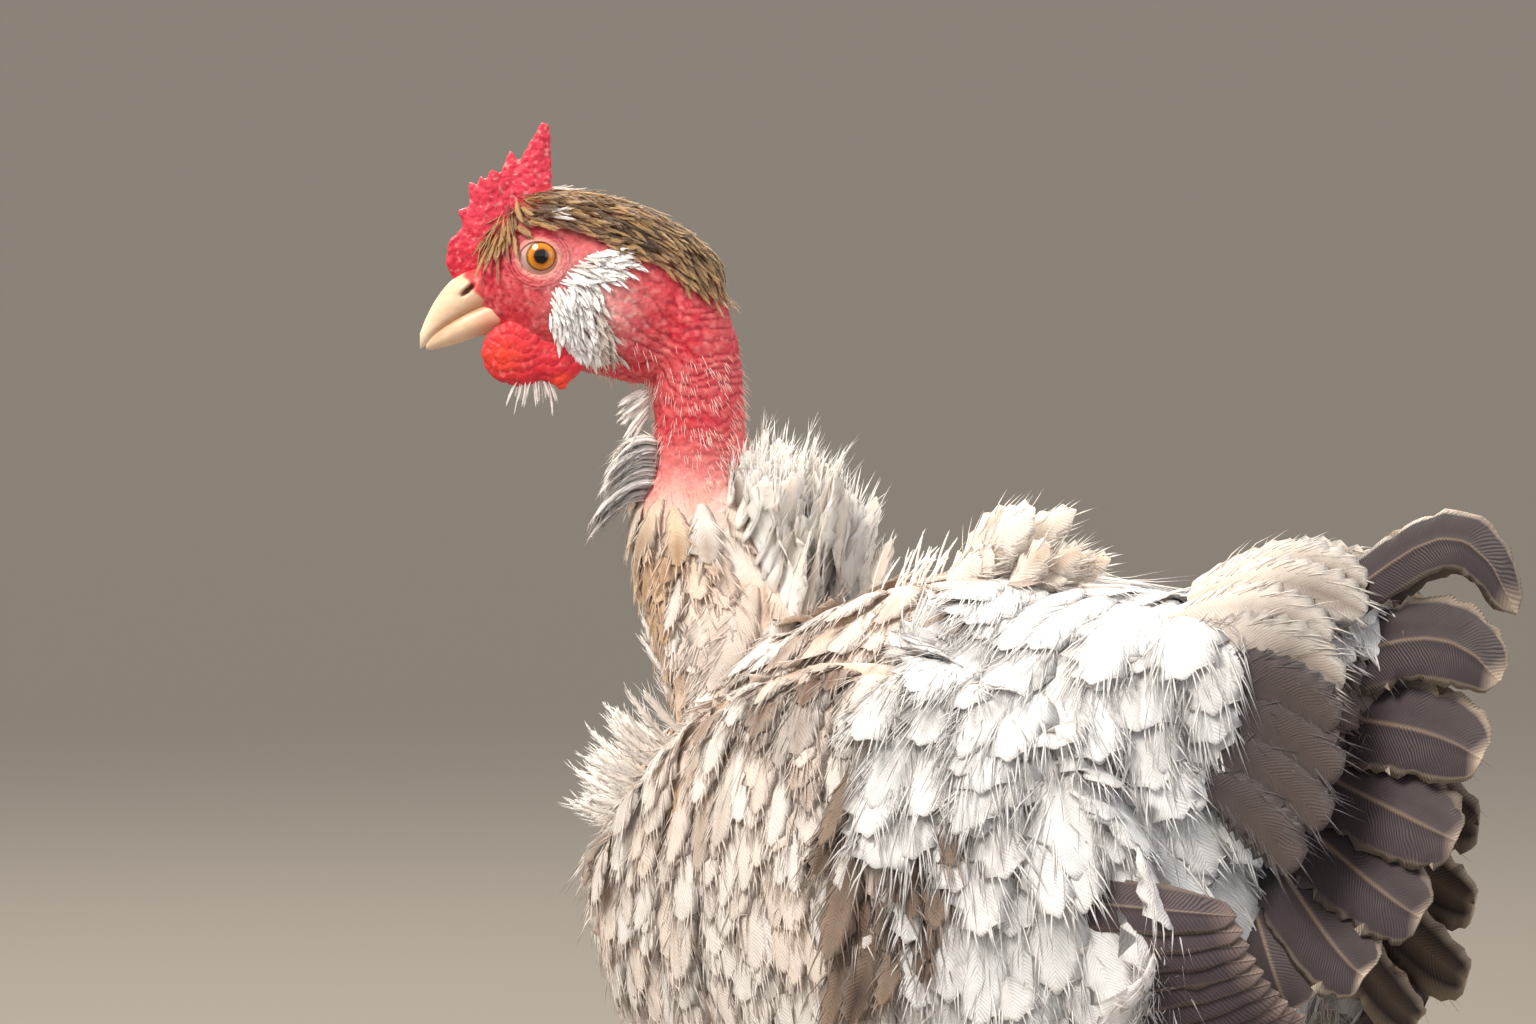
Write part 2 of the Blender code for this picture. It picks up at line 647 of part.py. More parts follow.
def make_tail(name, side, feathers, torso):
    """One half of the rump with its fan of tail feathers and the coverts over them."""
    rings = []
    for row in RUMP_ROWS:
        centre, reach, rise = upright_ring(row)
        turns = [math.pi * (i / 8 - 0.5) for i in range(9)]
        ring = [centre + reach * (-side * math.cos(turn)) + rise * math.sin(turn) for turn in turns]
        for point in ring:
            point.y = side * max(abs(point.y), GAP / 2)
        rings.append(ring)
    forms = [loft(rings)]
    for i, (tip, bow, half) in enumerate(feathers):
        root = TAIL_ROOT_TOP.lerp(TAIL_ROOT_LOW, i / (len(feathers) - 1))
        points = []
        for t, _, _ in QUILL:
            point = root.lerp(Vector(tip), t) + UP * bow * 9.5 * t ** 3 * (1 - t)
            points.append(Vector((point.x, side * point.y, point.z)))
        out = ACROSS * side
        forms.append(vane(points, [out] * len(points), half, 0.0010, -side * TAIL_LEAN))
    surface = over(upright_ring, RUMP_ROWS, 0)
    for places, turns, count in (((0.0960, 0.1330), (36, 72), 3), ((0.0820, 0.1120), (28, 68), 3)):
        for i in range(count):
            turn = math.radians(turns[0] + (turns[1] - turns[0]) * i / (count - 1))
            turn = turn if side < 0 else math.pi - turn
            forms.append(lay(surface, places, (turn, turn), (-0.0010, 0.0030), 0.0058, 0.0010, -0.14 * side, QUILL))
    return meet(add(name, TAIL, *forms), torso)


def make_wing(torso):
    """The folded left wing: a shell at the shoulder, four tiers of feathers and the long quills."""
    shell = bmesh.new()
    bmesh.ops.create_uvsphere(shell, u_segments=18, v_segments=8, radius=1.0)
    for v in shell.verts:
        x, y, z = v.co
        lift = WING_SHELL_THICKNESS * z if z > 0 else 0.0060 * z
        v.co = over_wing(WING_SHELL_MIDDLE + WING_SHELL_REACH * x, WING_SHELL_TURN * y, lift)[0]
    forms = [outward(shell)]
    forms += tier(over_wing, (-0.0050, 0.1080), (-30, 8), 5, 0.0098, 0.0010, (0.0004, 0.0024), 0.12, QUILL, 6)
    forms += tier(over_wing, (-0.0050, 0.0850), (18, 38), 3, 0.0092, 0.0010, (0.0004, 0.0024), 0.12, QUILL, 0)
    forms += tier(over_wing, (-0.0350, 0.0340), (-32, 36), 6, 0.0102, 0.0010, (0.0004, 0.0052), 0.12, QUILL)
    forms += tier(over_wing, (-0.0560, 0.0000), (-28, 32), 5, 0.0106, 0.0010, (0.0002, 0.0064), 0.12, LOCK)
    forms += tier(over_wing, (-0.0720, -0.0320), (-22, 26), 4, 0.0104, 0.0010, (-0.0004, 0.0062), 0.12, LOCK)
    return meet(add("wing_left", WHITE, *forms), torso)


def make_thigh(*clear_of):
    """The left thigh, with a fringe of feathers over the hock."""
    surface = over(level_ring, THIGH_ROWS, 2)
    forms = [body(level_ring, THIGH_ROWS[:5], 12, 2)]
    for i in range(5):
        turn = 2 * math.pi * (i + 0.5) / 5
        forms.append(lay(surface, (0.1180, 0.0915), (turn, turn), (-0.0006, 0.0024), 0.0058, 0.0010, 0.1))
    return meet(add("thigh_left", WHITE, *forms), *clear_of)


def make_shank(thigh):
    """The shank from the hock to the foot, with its scutes stepped down the front."""
    path, radii = [], []
    for i in range(SCUTES):
        share = i / SCUTES
        swell = max(0.0, 1 - share * 4)
        radius = SHANK_RADIUS + (HOCK_RADIUS - SHANK_RADIUS) * swell * swell
        for step, rise in ((0.02, 0.0), (0.90, SCUTE_HEIGHT)):
            path.append(HOCK.lerp(ANKLE, (i + step) / SCUTES))
            radii.append(radius + rise)
    path = [HOCK.lerp(ANKLE, -0.07)] + path + [ANKLE]
    radii = [HOCK_RADIUS * 0.7] + radii + [SHANK_RADIUS]
    return meet(add("shank_left", LEG, tube(path, radii, 8)), thigh)


def toe_path(angle, length):
    """Centre line of one toe of the left foot, flat on the floor, arched at its joints."""
    ahead = Vector((-math.cos(angle), -math.sin(angle), 0))
    start = Vector((FOOT_X, -FOOT_Y, 0.0075))
    heights = (0.0075, 0.0062, 0.0048, 0.0036, 0.0030)
    return [start + ahead * length * i / 4 + UP * (z - 0.0075) for i, z in enumerate(heights)]


def make_foot(shank):
    """Four toes joined under the shank, flat where they stand on the floor."""
    forms = [ball(Vector((FOOT_X, -FOOT_Y, HUB_SIZE[2])), HUB_SIZE, (ALONG, ACROSS, UP), 10, 6)]
    for angle, length in TOES:
        radii = [TOE_RADIUS * part for part in (1.25, 1, 0.9, 0.8, 0.62)]
        forms.append(tube(toe_path(angle, length), radii, 8, 0.92))
    for form in forms:
        for v in form.verts:
            v.co.z = max(v.co.z, 0.0)
    return meet(add("foot_left", LEG, *forms), shank)


def make_claw(name, angle, length, foot):
    """A claw at the end of one toe, curved down to the floor."""
    tip = toe_path(angle, length)[-1]
    ahead = Vector((-math.cos(angle), -math.sin(angle), 0))
    drops = (0.0004, 0.0, -0.0008, -0.0021)
    path = [tip + ahead * (CLAW_LENGTH * i / 3 - 0.001) + UP * drop for i, drop in enumerate(drops)]
    form = tube(path, (CLAW_RADIUS * 0.9, CLAW_RADIUS * 0.8, CLAW_RADIUS * 0.55, 0.0003), 6)
    for v in form.verts:
        v.co.z = max(v.co.z, 0.0002)
    return meet(add(name, CLAW, form), foot)


def centre_on_floor():
    """Moves the whole hen so that the middle of its box stands over the origin."""
    corners = [v.co for obj in HEN.objects for v in obj.data.vertices]
    middle_x = (min(c.x for c in corners) + max(c.x for c in corners)) / 2
    middle_y = (min(c.y for c in corners) + max(c.y for c in corners)) / 2
    for obj in HEN.objects:
        for v in obj.data.vertices:
            v.co -= Vector((middle_x, middle_y, 0))


def build():
    head = make_head()
    upper, lower = make_bill(head)
    torso = make_torso()
    crop = make_crop(torso)
    neck = meet(add("neck", SKIN, body(neck_ring, NECK_ROWS, 12, 2)), head, crop)
    make_cape(torso, crop, neck)
    make_neck_tuft(crop, neck)
    cap = make_cap(head, neck)
    make_comb(head, cap, upper)
    for name, side in (("left", 1), ("right", -1)):
        make_wattle("wattle_" + name, side, head, lower, neck)
        make_ear("ear_tuft_" + name, side, head, neck, cap)
    make_tail("tail_left", -1, TAIL_LEFT, torso)
    make_tail("tail_right", 1, TAIL_RIGHT, torso)
    wing = make_wing(torso)
    thigh = make_thigh(torso, wing)
    shank = make_shank(thigh)
    foot = make_foot(shank)
    claws = [make_claw(f"claw_left_{i + 1}", *toe, foot) for i, toe in enumerate(TOES)]
    for obj in (wing, thigh, shank, foot, *claws):
        mirrored(obj, obj.name.replace("left", "right"))
    centre_on_floor()
    for obj in HEN.objects:
        obj.data.shade_smooth()


clear_scene()
DRAW = random.Random(7)
SHAPES = {}
HEN = bpy.data.collections.new("naked_neck_hen")
bpy.context.scene.collection.children.link(HEN)
SKIN = finish("bare_red_skin", "C8414C", 0.55)
COMB = finish("comb_flesh", "DE2F40", 0.5)
HORN = finish("bill_horn", "E6C49C", 0.4)
EYE = finish("eye", "D9801A", 0.1)
CAP = finish("cap_feather", "8A6238", 0.7)
DOWN = finish("pale_feather", "E6DCD0", 0.8)
BUFF = finish("crop_feather", "DDB68C", 0.8)
WHITE = finish("white_feather", "EFE6DF", 0.8)
TAIL = finish("tail_feather", "4A4043", 0.6)
LEG = finish("leg_scale", "C9B28E", 0.5)
CLAW = finish("claw_horn", "B9A284", 0.4)
build()
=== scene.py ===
# %% [markdown]
# # A naked neck hen, dressed in skin and feathers
# The solids of the hen come in as a fixed frame. They have her size and pose, and the large feathers in
# outline. This lesson puts one skin over the flesh, and then lays the coat on it feather by feather.

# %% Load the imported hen
import math

import bmesh
import bpy
import numpy as np
from mathutils import Matrix, Vector, noise
from mathutils.bvhtree import BVHTree


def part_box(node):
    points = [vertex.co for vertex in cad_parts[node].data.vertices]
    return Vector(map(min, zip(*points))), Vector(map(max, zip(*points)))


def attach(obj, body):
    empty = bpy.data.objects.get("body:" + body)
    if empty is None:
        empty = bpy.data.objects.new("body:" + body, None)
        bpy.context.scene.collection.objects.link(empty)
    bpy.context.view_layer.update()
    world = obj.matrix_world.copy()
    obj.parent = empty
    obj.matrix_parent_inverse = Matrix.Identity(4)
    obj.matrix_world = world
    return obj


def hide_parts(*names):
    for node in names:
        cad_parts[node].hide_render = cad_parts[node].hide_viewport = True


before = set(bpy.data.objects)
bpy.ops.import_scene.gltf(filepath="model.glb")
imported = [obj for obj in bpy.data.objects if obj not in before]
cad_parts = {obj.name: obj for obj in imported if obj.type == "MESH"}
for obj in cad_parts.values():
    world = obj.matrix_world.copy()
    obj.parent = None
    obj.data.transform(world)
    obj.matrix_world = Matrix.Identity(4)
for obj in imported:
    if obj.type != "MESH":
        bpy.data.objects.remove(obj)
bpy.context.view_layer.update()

# %% [markdown]
# ## Two sets of directions
# The body faces -X and its left side is -Y. The head is turned 40 degrees to its left, so it gets its own
# forward and left. Everything on the head is placed from the middle between the eyes, and everything on the
# body from a point on the floor that is worked out from the left eye.

# %% Directions and places
HEAD_TURN = math.radians(40)
EYE_SIDE = 0.0088
EYE_RADIUS = 0.0062
FORWARD = Vector((-math.cos(HEAD_TURN), -math.sin(HEAD_TURN), 0))
LEFT = Vector((math.sin(HEAD_TURN), -math.cos(HEAD_TURN), 0))
UP = Vector((0, 0, 1))
EYE_FROM_FLOOR_POINT = Vector((-0.10684, -0.03604, 0.365))
low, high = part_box("eye_left")
EYE = (low + high) / 2
BETWEEN_EYES = EYE - LEFT * EYE_SIDE
FLOOR_POINT = EYE - EYE_FROM_FLOOR_POINT


def on_head(forward, left, up):
    """The place of a point given in the turned head's directions."""
    return BETWEEN_EYES + FORWARD * forward + LEFT * left + UP * up


def on_body(x, y, z):
    """The place of a point of the body."""
    return Vector((x, y, z)) + FLOOR_POINT


def smoothstep(low, high, value):
    """0 below low, 1 above high, with a soft change between them."""
    t = np.clip((value - low) / (high - low), 0, 1)
    return t * t * (3 - 2 * t)


print("left eye:", [round(c, 4) for c in EYE], "floor point:", [round(c, 4) for c in FLOOR_POINT])

# %% [markdown]
# ## Colours and nodes
# A colour is written as the sRGB hex value that an eye would pick from a screen. Blender computes with
# linear light, so one function turns it round. One more function adds a node, sets its options and joins its
# inputs.

# %% Colour and node helpers
def linear(hex_colour):
    """Linear light from an sRGB hex value."""
    channels = [int(hex_colour[i:i + 2], 16) / 255 for i in (0, 2, 4)]
    return [c / 12.92 if c <= 0.04045 else ((c + 0.055) / 1.055) ** 2.4 for c in channels]


def add_node(tree, kind, settings=None, **inputs):
    """Adds a node. An input is a value, or a socket to link from; underscores stand for spaces."""
    node = tree.nodes.new(kind)
    for key, value in (settings or {}).items():
        setattr(node, key, value)
    for key, value in inputs.items():
        socket = node.inputs[int(key[1:])] if key[1:].isdigit() else node.inputs[key.replace("_", " ")]
        if isinstance(value, bpy.types.NodeSocket):
            tree.links.new(value, socket)
        else:
            socket.default_value = value
    return node


def new_material(name, **shader_inputs):
    """A material with only a Principled shader: returns the material, its tree and the shader."""
    material = bpy.data.materials.new(name)
    material.use_nodes = True
    tree = material.node_tree
    shader = tree.nodes["Principled BSDF"]
    for key, value in shader_inputs.items():
        shader.inputs[key.replace("_", " ")].default_value = value
    return material, tree, shader


def placed(name, data):
    """A new object of the scene that shows a mesh, a lamp or a camera."""
    obj = bpy.data.objects.new(name, data)
    bpy.context.scene.collection.objects.link(obj)
    return obj


def made_plain(obj):
    """The mesh that an object's modifiers make. The object goes, and no modifier is left."""
    mesh = bpy.data.meshes.new_from_object(obj.evaluated_get(bpy.context.evaluated_depsgraph_get()))
    bpy.data.objects.remove(obj)
    return mesh


# %% [markdown]
# ## Camera, floor and light
# The camera stands behind the hen's left side, 2.6 m away and a little above her, as in the photograph. The
# picture's width takes in 394 mm at the eye. The light is a soft sun from the upper left, a weak lamp from
# the right, and one behind her that makes the edges of the feathers shine.

# %% Camera
CAMERA_AZIMUTH = math.radians(40)
CAMERA_ELEVATION = math.radians(4)
CAMERA_DISTANCE = 2.6
PICTURE_WIDTH = 0.394
SENSOR = 36
EYE_TO_MIDDLE = (0.0582, -0.0656)
EYE_FRONT = 0.0055
BACKWARD = Vector((
    math.sin(CAMERA_AZIMUTH) * math.cos(CAMERA_ELEVATION),
    -math.cos(CAMERA_AZIMUTH) * math.cos(CAMERA_ELEVATION),
    math.sin(CAMERA_ELEVATION),
))
RIGHTWARD = Vector((math.cos(CAMERA_AZIMUTH), math.sin(CAMERA_AZIMUTH), 0))
UPWARD = BACKWARD.cross(RIGHTWARD)
middle = EYE + LEFT * EYE_FRONT + RIGHTWARD * EYE_TO_MIDDLE[0] + UPWARD * EYE_TO_MIDDLE[1]
lens = bpy.data.cameras.new("studio_camera")
lens.sensor_width = SENSOR
lens.lens = SENSOR * CAMERA_DISTANCE / PICTURE_WIDTH
lens.clip_end = 500
camera = placed("studio_camera", lens)
turn = Matrix((RIGHTWARD, UPWARD, BACKWARD)).transposed().to_4x4()
camera.matrix_world = Matrix.Translation(middle + BACKWARD * CAMERA_DISTANCE) @ turn
bpy.context.scene.camera = camera
print("camera at", [round(c, 3) for c in camera.location], "lens", round(lens.lens, 1), "mm")


# %% Floor and lamps
def lamp(name, direction, distance, size, power, hex_colour):
    """A square soft lamp that looks at the hen's back."""
    data = bpy.data.lights.new(name, "AREA")
    data.energy = power
    data.size = size
    data.color = linear(hex_colour)
    obj = placed(name, data)
    obj.location = on_body(0, 0, 0.25) + Vector(direction).normalized() * distance
    obj.rotation_euler = Vector(direction).to_track_quat("Z", "Y").to_euler()


def sun(name, direction, strength, softness, hex_colour):
    """Light from far away, so the floor is lit evenly; softness is the angle that it comes from."""
    data = bpy.data.lights.new(name, "SUN")
    data.energy = strength
    data.angle = math.radians(softness)
    data.color = linear(hex_colour)
    obj = placed(name, data)
    obj.rotation_euler = Vector(direction).to_track_quat("Z", "Y").to_euler()


sun("key_light", BACKWARD * 0.75 - RIGHTWARD * 0.85 + UP * 1.15, 2.9, 30, "FFF6EA")
lamp("fill_lamp", BACKWARD + RIGHTWARD * 0.9 + UP * 0.1, 2.4, 1.8, 12, "F3F4FF")
lamp("rim_lamp", -BACKWARD - RIGHTWARD * 0.25 + UP * 0.9, 2.0, 1.0, 45, "FFF6EA")
world = bpy.data.worlds.new("studio_air")
world.use_nodes = True
background = world.node_tree.nodes["Background"]
background.inputs["Color"].default_value = (*linear("C4BFBA"), 1)
background.inputs["Strength"].default_value = 1.12
bpy.context.scene.world = world
bpy.context.scene.view_settings.view_transform = "Standard"
bpy.context.scene.view_settings.exposure = 0.28

floor_material, tree, shader = new_material("painted_floor", Roughness=0.95, Specular_IOR_Level=0.1)
shader.inputs["Base Color"].default_value = (*linear("6C6863"), 1)
bpy.ops.mesh.primitive_plane_add(size=400)
floor = bpy.context.object
floor.name = "floor"
floor.data.materials.append(floor_material)

# %% [markdown]
# ## One skin
# A plucked hen is one surface from the bill to the hock. It is made from the same sections as the solids,
# set in by the depth of the coat where feathers will lie. The forms are joined by a voxel remesh, which
# melts them together with no seam, and then smoothed. The head and neck are bare, so they get finer faces.

# %% Sections of the flesh
# Head: forward station, half width, top, bottom
HEAD_ROWS = (
    (-0.045, 0.004, -0.003, -0.012), (-0.0415, 0.0082, 0.001, -0.021), (-0.033, 0.0118, 0.0072, -0.0305),
    (-0.026, 0.0132, 0.0105, -0.0336), (-0.018, 0.0142, 0.0132, -0.0322), (-0.008, 0.0146, 0.0152, -0.0298),
    (0.0, 0.0138, 0.0155, -0.027), (0.007, 0.0114, 0.0128, -0.0228), (0.012, 0.0084, 0.0066, -0.019),
    (0.0155, 0.0056, -0.0004, -0.0164), (0.0176, 0.0028, -0.006, -0.014),
)
# Bare neck: forward station, height, half length, half width
NECK_ROWS = (
    (-0.032, -0.006, 0.0095, 0.01), (-0.0355, -0.014, 0.012, 0.0115), (-0.0383, -0.024, 0.0124, 0.0116),
    (-0.04, -0.035, 0.0119, 0.0113), (-0.0406, -0.046, 0.0116, 0.0113), (-0.0412, -0.055, 0.0124, 0.0121),
    (-0.0424, -0.063, 0.0146, 0.0148), (-0.044, -0.071, 0.0175, 0.018),
)
# Crop and neck base: x, y, z, half length, half width
CROP_ROWS = (
    (-0.082, -0.004, 0.3085, 0.0125, 0.0125), (-0.0812, -0.004, 0.305, 0.0155, 0.016),
    (-0.08, -0.004, 0.298, 0.0192, 0.0202), (-0.076, -0.003, 0.287, 0.0222, 0.0242),
    (-0.068, -0.001, 0.272, 0.0242, 0.0292), (-0.058, 0.0, 0.255, 0.0252, 0.0332),
    (-0.045, 0.0, 0.235, 0.0252, 0.0372),
)
# Body: x, half width, top, bottom
TORSO_ROWS = (
    (-0.098, 0.008, 0.22, 0.188), (-0.09, 0.029, 0.237, 0.165), (-0.075, 0.048, 0.251, 0.147),
    (-0.05, 0.058, 0.27, 0.133), (-0.02, 0.062, 0.285, 0.125), (0.01, 0.063, 0.289, 0.122),
    (0.04, 0.061, 0.288, 0.126), (0.065, 0.055, 0.286, 0.14), (0.085, 0.043, 0.283, 0.163),
    (0.1, 0.028, 0.277, 0.193), (0.109, 0.01, 0.268, 0.22),
)
RUMP_ROWS = (
    (0.066, 0.036, 0.285, 0.208), (0.088, 0.032, 0.2878, 0.213), (0.108, 0.025, 0.2896, 0.222),
    (0.122, 0.018, 0.29, 0.234), (0.132, 0.012, 0.289, 0.248), (0.138, 0.005, 0.286, 0.264),
)
# Left thigh: x, y, z, half length, half width
THIGH_ROWS = (
    (-0.002, -0.032, 0.172, 0.033, 0.02), (0.006, -0.037, 0.15, 0.033, 0.021),
    (0.018, -0.0395, 0.128, 0.025, 0.019), (0.03, -0.0388, 0.108, 0.0145, 0.0125),
    (0.0385, -0.0378, 0.093, 0.0088, 0.0086), (0.04, -0.0376, 0.088, 0.0086, 0.0084),
)
WING_MIDDLE = (0.012, 0.206)
WING_REACH = (0.128, 0.0635, 0.086)
BODY_COAT = 0.0045
THIN_COAT = 0.0025
SKIN_VOXEL = 0.0012


def smooth_rows(rows, steps):
    """The rows with steps - 1 Catmull-Rom rows added between each two."""
    made = []
    for i in range(len(rows) - 1):
        four = rows[max(i - 1, 0)], rows[i], rows[i + 1], rows[min(i + 2, len(rows) - 1)]
        for k in range(steps):
            t = k / steps
            made.append([
                0.5 * (2 * b + (c - a) * t + (2 * a - 5 * b + 4 * c - d) * t * t
                       + (3 * b - a - 3 * c + d) * t ** 3)
                for a, b, c, d in zip(*four)
            ])
    made.append(list(rows[-1]))
    return made


def head_section(station, half, top, bottom):
    return on_head(station, 0, (top + bottom) / 2), LEFT * half, UP * ((top - bottom) / 2)


def neck_section(forward, up, half_length, half_width):
    return on_head(forward, 0, up), FORWARD * half_length, LEFT * half_width


def level_section(x, y, z, half_length, half_width):
    return on_body(x, y, z), Vector((half_length, 0, 0)), Vector((0, half_width, 0))


def upright_section(x, half, top, bottom):
    return on_body(x, 0, (top + bottom) / 2), Vector((0, -half, 0)), UP * ((top - bottom) / 2)


def shrunk(rows, depth, columns=(-1, -2)):
    """The rows with a coat's depth taken off their half sizes."""
    return [
        [max(c - depth, 0.003) if i - len(row) in columns else c for i, c in enumerate(row)] for row in rows
    ]


def sunk(rows, depth):
    """Upright rows, given as half width, top and bottom, with a coat's depth taken off."""
    return [(x, max(half - depth, 0.004), top - depth, bottom + depth) for x, half, top, bottom in rows]


def ring_faces(rings, around):
    """Four-sided faces that join rings of points, each with as many points around."""
    return [
        (a + i, a + (i + 1) % around, a + around + (i + 1) % around, a + around + i)
        for a in range(0, (rings - 1) * around, around) for i in range(around)
    ]


def capped(rings, around):
    """The faces that join rings of points, closed by one face at each end."""
    ends = range(around), range((rings - 1) * around, rings * around)
    return ring_faces(rings, around) + [tuple(ends[0])[::-1], tuple(ends[1])]


def loft(sections, count=40):
    """Points and faces of a closed form through oval sections."""
    points = []
    for centre, side, rise in sections:
        for i in range(count):
            angle = 2 * math.pi * i / count
            points.append(centre + side * math.cos(angle) + rise * math.sin(angle))
    return points, capped(len(sections), count)


def flipped(form):
    """The same form on the hen's right side."""
    points, faces = form
    return [Vector((p.x, 2 * FLOOR_POINT.y - p.y, p.z)) for p in points], [face[::-1] for face in faces]


def wing_point(x, angle, lift):
    """A point over the rounded surface that the folded left wing lies on."""
    share = (x - WING_MIDDLE[0]) / WING_REACH[0]
    size = math.sqrt(max(0.06, 1 - share * share))
    y = -size * WING_REACH[1] * math.cos(angle)
    z = size * WING_REACH[2] * math.sin(angle)
    out = Vector((share / WING_REACH[0], y / WING_REACH[1] ** 2, z / WING_REACH[2] ** 2)).normalized()
    return on_body(x, y, WING_MIDDLE[1] + z) + out * lift


def wing_pad():
    """The muscle and down of the folded wing, which lifts its feathers off the flank."""
    points = []
    steps, around = 14, 36
    for k in range(steps + 1):
        x = 0.01 - 0.088 * math.cos(math.pi * k / steps)
        span = math.sin(math.pi * k / steps)
        for i in range(around):
            angle = 2 * math.pi * i / around
            lift = 0.0006 * span if math.sin(angle) > 0 else -0.012 * span
            turn = math.radians(46) * span * math.cos(angle)
            points.append(wing_point(x, turn, lift * abs(math.sin(angle))))
    return points, ring_faces(steps + 1, around)


def forms_mesh(name, forms):
    """One mesh of several forms, with its doubles merged and its faces turned outwards."""
    points, faces = [], []
    for form_points, form_faces in forms:
        faces += [[index + len(points) for index in face] for face in form_faces]
        points += form_points
    mesh = bpy.data.meshes.new(name)
    mesh.from_pydata([tuple(p) for p in points], [], faces)
    bm = bmesh.new()
    bm.from_mesh(mesh)
    bmesh.ops.remove_doubles(bm, verts=bm.verts, dist=1e-6)
    bmesh.ops.recalc_face_normals(bm, faces=bm.faces)
    bm.to_mesh(mesh)
    bm.free()
    return mesh


def melted(name, forms, voxel, rounds):
    """The forms joined by a voxel remesh and smoothed."""
    obj = placed(name, forms_mesh(name, forms))
    remesh = obj.modifiers.new("melt", "REMESH")
    remesh.mode = "VOXEL"
    remesh.voxel_size = voxel
    smooth = obj.modifiers.new("smooth", "SMOOTH")
    smooth.factor = 0.5
    smooth.iterations = rounds
    mesh = made_plain(obj)
    mesh.name = name
    return mesh


def sections(section, rows, steps=4):
    return loft([section(*row) for row in smooth_rows(rows, steps)])


thigh = sections(level_section, shrunk(THIGH_ROWS[:4], 0.004) + shrunk(THIGH_ROWS[4:], 0.0015))
flesh = [
    sections(head_section, HEAD_ROWS),
    sections(neck_section, NECK_ROWS),
    sections(level_section, shrunk(CROP_ROWS, THIN_COAT)),
    sections(upright_section, sunk(TORSO_ROWS, BODY_COAT)),
    sections(upright_section, sunk(RUMP_ROWS, BODY_COAT)),
    thigh, flipped(thigh), wing_pad(), flipped(wing_pad()),
]
body_mesh = melted("skin", flesh, SKIN_VOXEL, 8)
print("skin after melting:", len(body_mesh.vertices), "points")

# %% Finer faces on the bare head and neck
BARE_FROM = 0.292


def refined(mesh, lowest):
    """The mesh with the faces above a height cut in four and smoothed."""
    bm = bmesh.new()
    bm.from_mesh(mesh)
    fine = {v for v in bm.verts if v.co.z > lowest and v.co.x < -0.03}
    edges = [e for e in bm.edges if fine.issuperset(e.verts)]
    bmesh.ops.subdivide_edges(bm, edges=edges, cuts=1, use_grid_fill=True)
    fine = [v for v in bm.verts if v.co.z > lowest + 0.002 and v.co.x < -0.03]
    for _ in range(3):
        bmesh.ops.smooth_vert(bm, verts=fine, factor=0.5, use_axis_x=True, use_axis_y=True, use_axis_z=True)
    bmesh.ops.triangulate(bm, faces=bm.faces)
    bm.to_mesh(mesh)
    bm.free()


def coordinates(mesh, kind="co"):
    """The places or normals of a mesh's points, as an array."""
    values = np.empty(len(mesh.vertices) * 3, np.float32)
    mesh.vertices.foreach_get(kind, values)
    return values.reshape(-1, 3).astype(float)


def move_points(mesh, places):
    """Gives the mesh's points new places."""
    mesh.vertices.foreach_set("co", places.astype(np.float32).ravel())
    mesh.update()
    return mesh


def surface_tree(mesh):
    """A search tree that finds the nearest place on a mesh."""
    return BVHTree.FromPolygons([v.co for v in mesh.vertices], [tuple(p.vertices) for p in mesh.polygons])


def body_coordinates(points):
    """x, y and z of each point, from the hen's place on the floor."""
    return (points - np.array(FLOOR_POINT)).T


def head_coordinates(points):
    """Forward, left and up of each point, from the middle between the eyes."""
    away = points - np.array(BETWEEN_EYES)
    return away @ np.array(FORWARD), away @ np.array(LEFT), away @ np.array(UP)


def cloud(places, scale, seed):
    """Smooth noise from 0 to 1 at each place."""
    offset = Vector((seed * 7.3, seed * 3.1, seed * 5.7))
    return np.array([0.5 + 0.5 * noise.noise(Vector(p) * scale + offset) for p in places])


refined(body_mesh, BARE_FROM)
HEAD_TREE = surface_tree(body_mesh)
print("skin with finer head:", len(body_mesh.vertices), "points")

# %% [markdown]
# ## Folds of the face and neck
# The bare skin is loose. Rings of small folds run round the neck, slanted ones gather behind the jaw, and
# the ear lobe swells under the ear. Each is a small move along the normal, worked out from the place on the
# head. The sockets are pushed in here, so that nothing of the skin shows through the eyes.

# %% Folds
RING_FOLD = 0.0027
RING_HEIGHT = 0.00034
SLANT_FOLD = 0.0042
LOBE = (-0.0205, -0.015)
SOCKET_REACH = 0.0052
SOCKET_DEPTH = 0.0086
points = coordinates(body_mesh)
normals = coordinates(body_mesh, "normal")
bare = np.where((points[:, 2] > BARE_FROM) & (points[:, 0] < -0.03))[0]
p, n = points[bare], normals[bare]
f, l, u = head_coordinates(p)
warp = cloud(p, 120, 4) - 0.5
neck_share = smoothstep(-0.018, -0.03, f) * smoothstep(-0.004, -0.018, u) * smoothstep(-0.074, -0.058, u)
rings = np.abs(np.sin(math.pi * (u + warp * 0.008) / RING_FOLD)) ** 0.8 - 0.6
slants = np.abs(np.sin(math.pi * (u * 0.8 - f * 0.6 + warp * 0.01) / SLANT_FOLD)) ** 0.8 - 0.6
slant_share = smoothstep(-0.012, -0.022, f) * smoothstep(-0.05, -0.03, u) * smoothstep(0.0, -0.012, u)
back_share = smoothstep(-0.034, -0.046, f)
move = RING_HEIGHT * rings * neck_share * (0.45 + 0.55 * back_share)
move += 0.00042 * slants * slant_share * (1 - back_share)
lobe = np.exp(-(((f - LOBE[0]) / 0.0052) ** 2 + ((u - LOBE[1]) / 0.0075) ** 2)) * (np.abs(l) > 0.004)
move += 0.0014 * lobe
move += 0.0007 * (cloud(p, 330, 5) - 0.5) + 0.00035 * (cloud(p, 800, 6) - 0.5)
brow = np.exp(-(((f + 0.001) / 0.008) ** 2 + ((u - 0.0072) / 0.0022) ** 2)) * (np.abs(l) > 0.004)
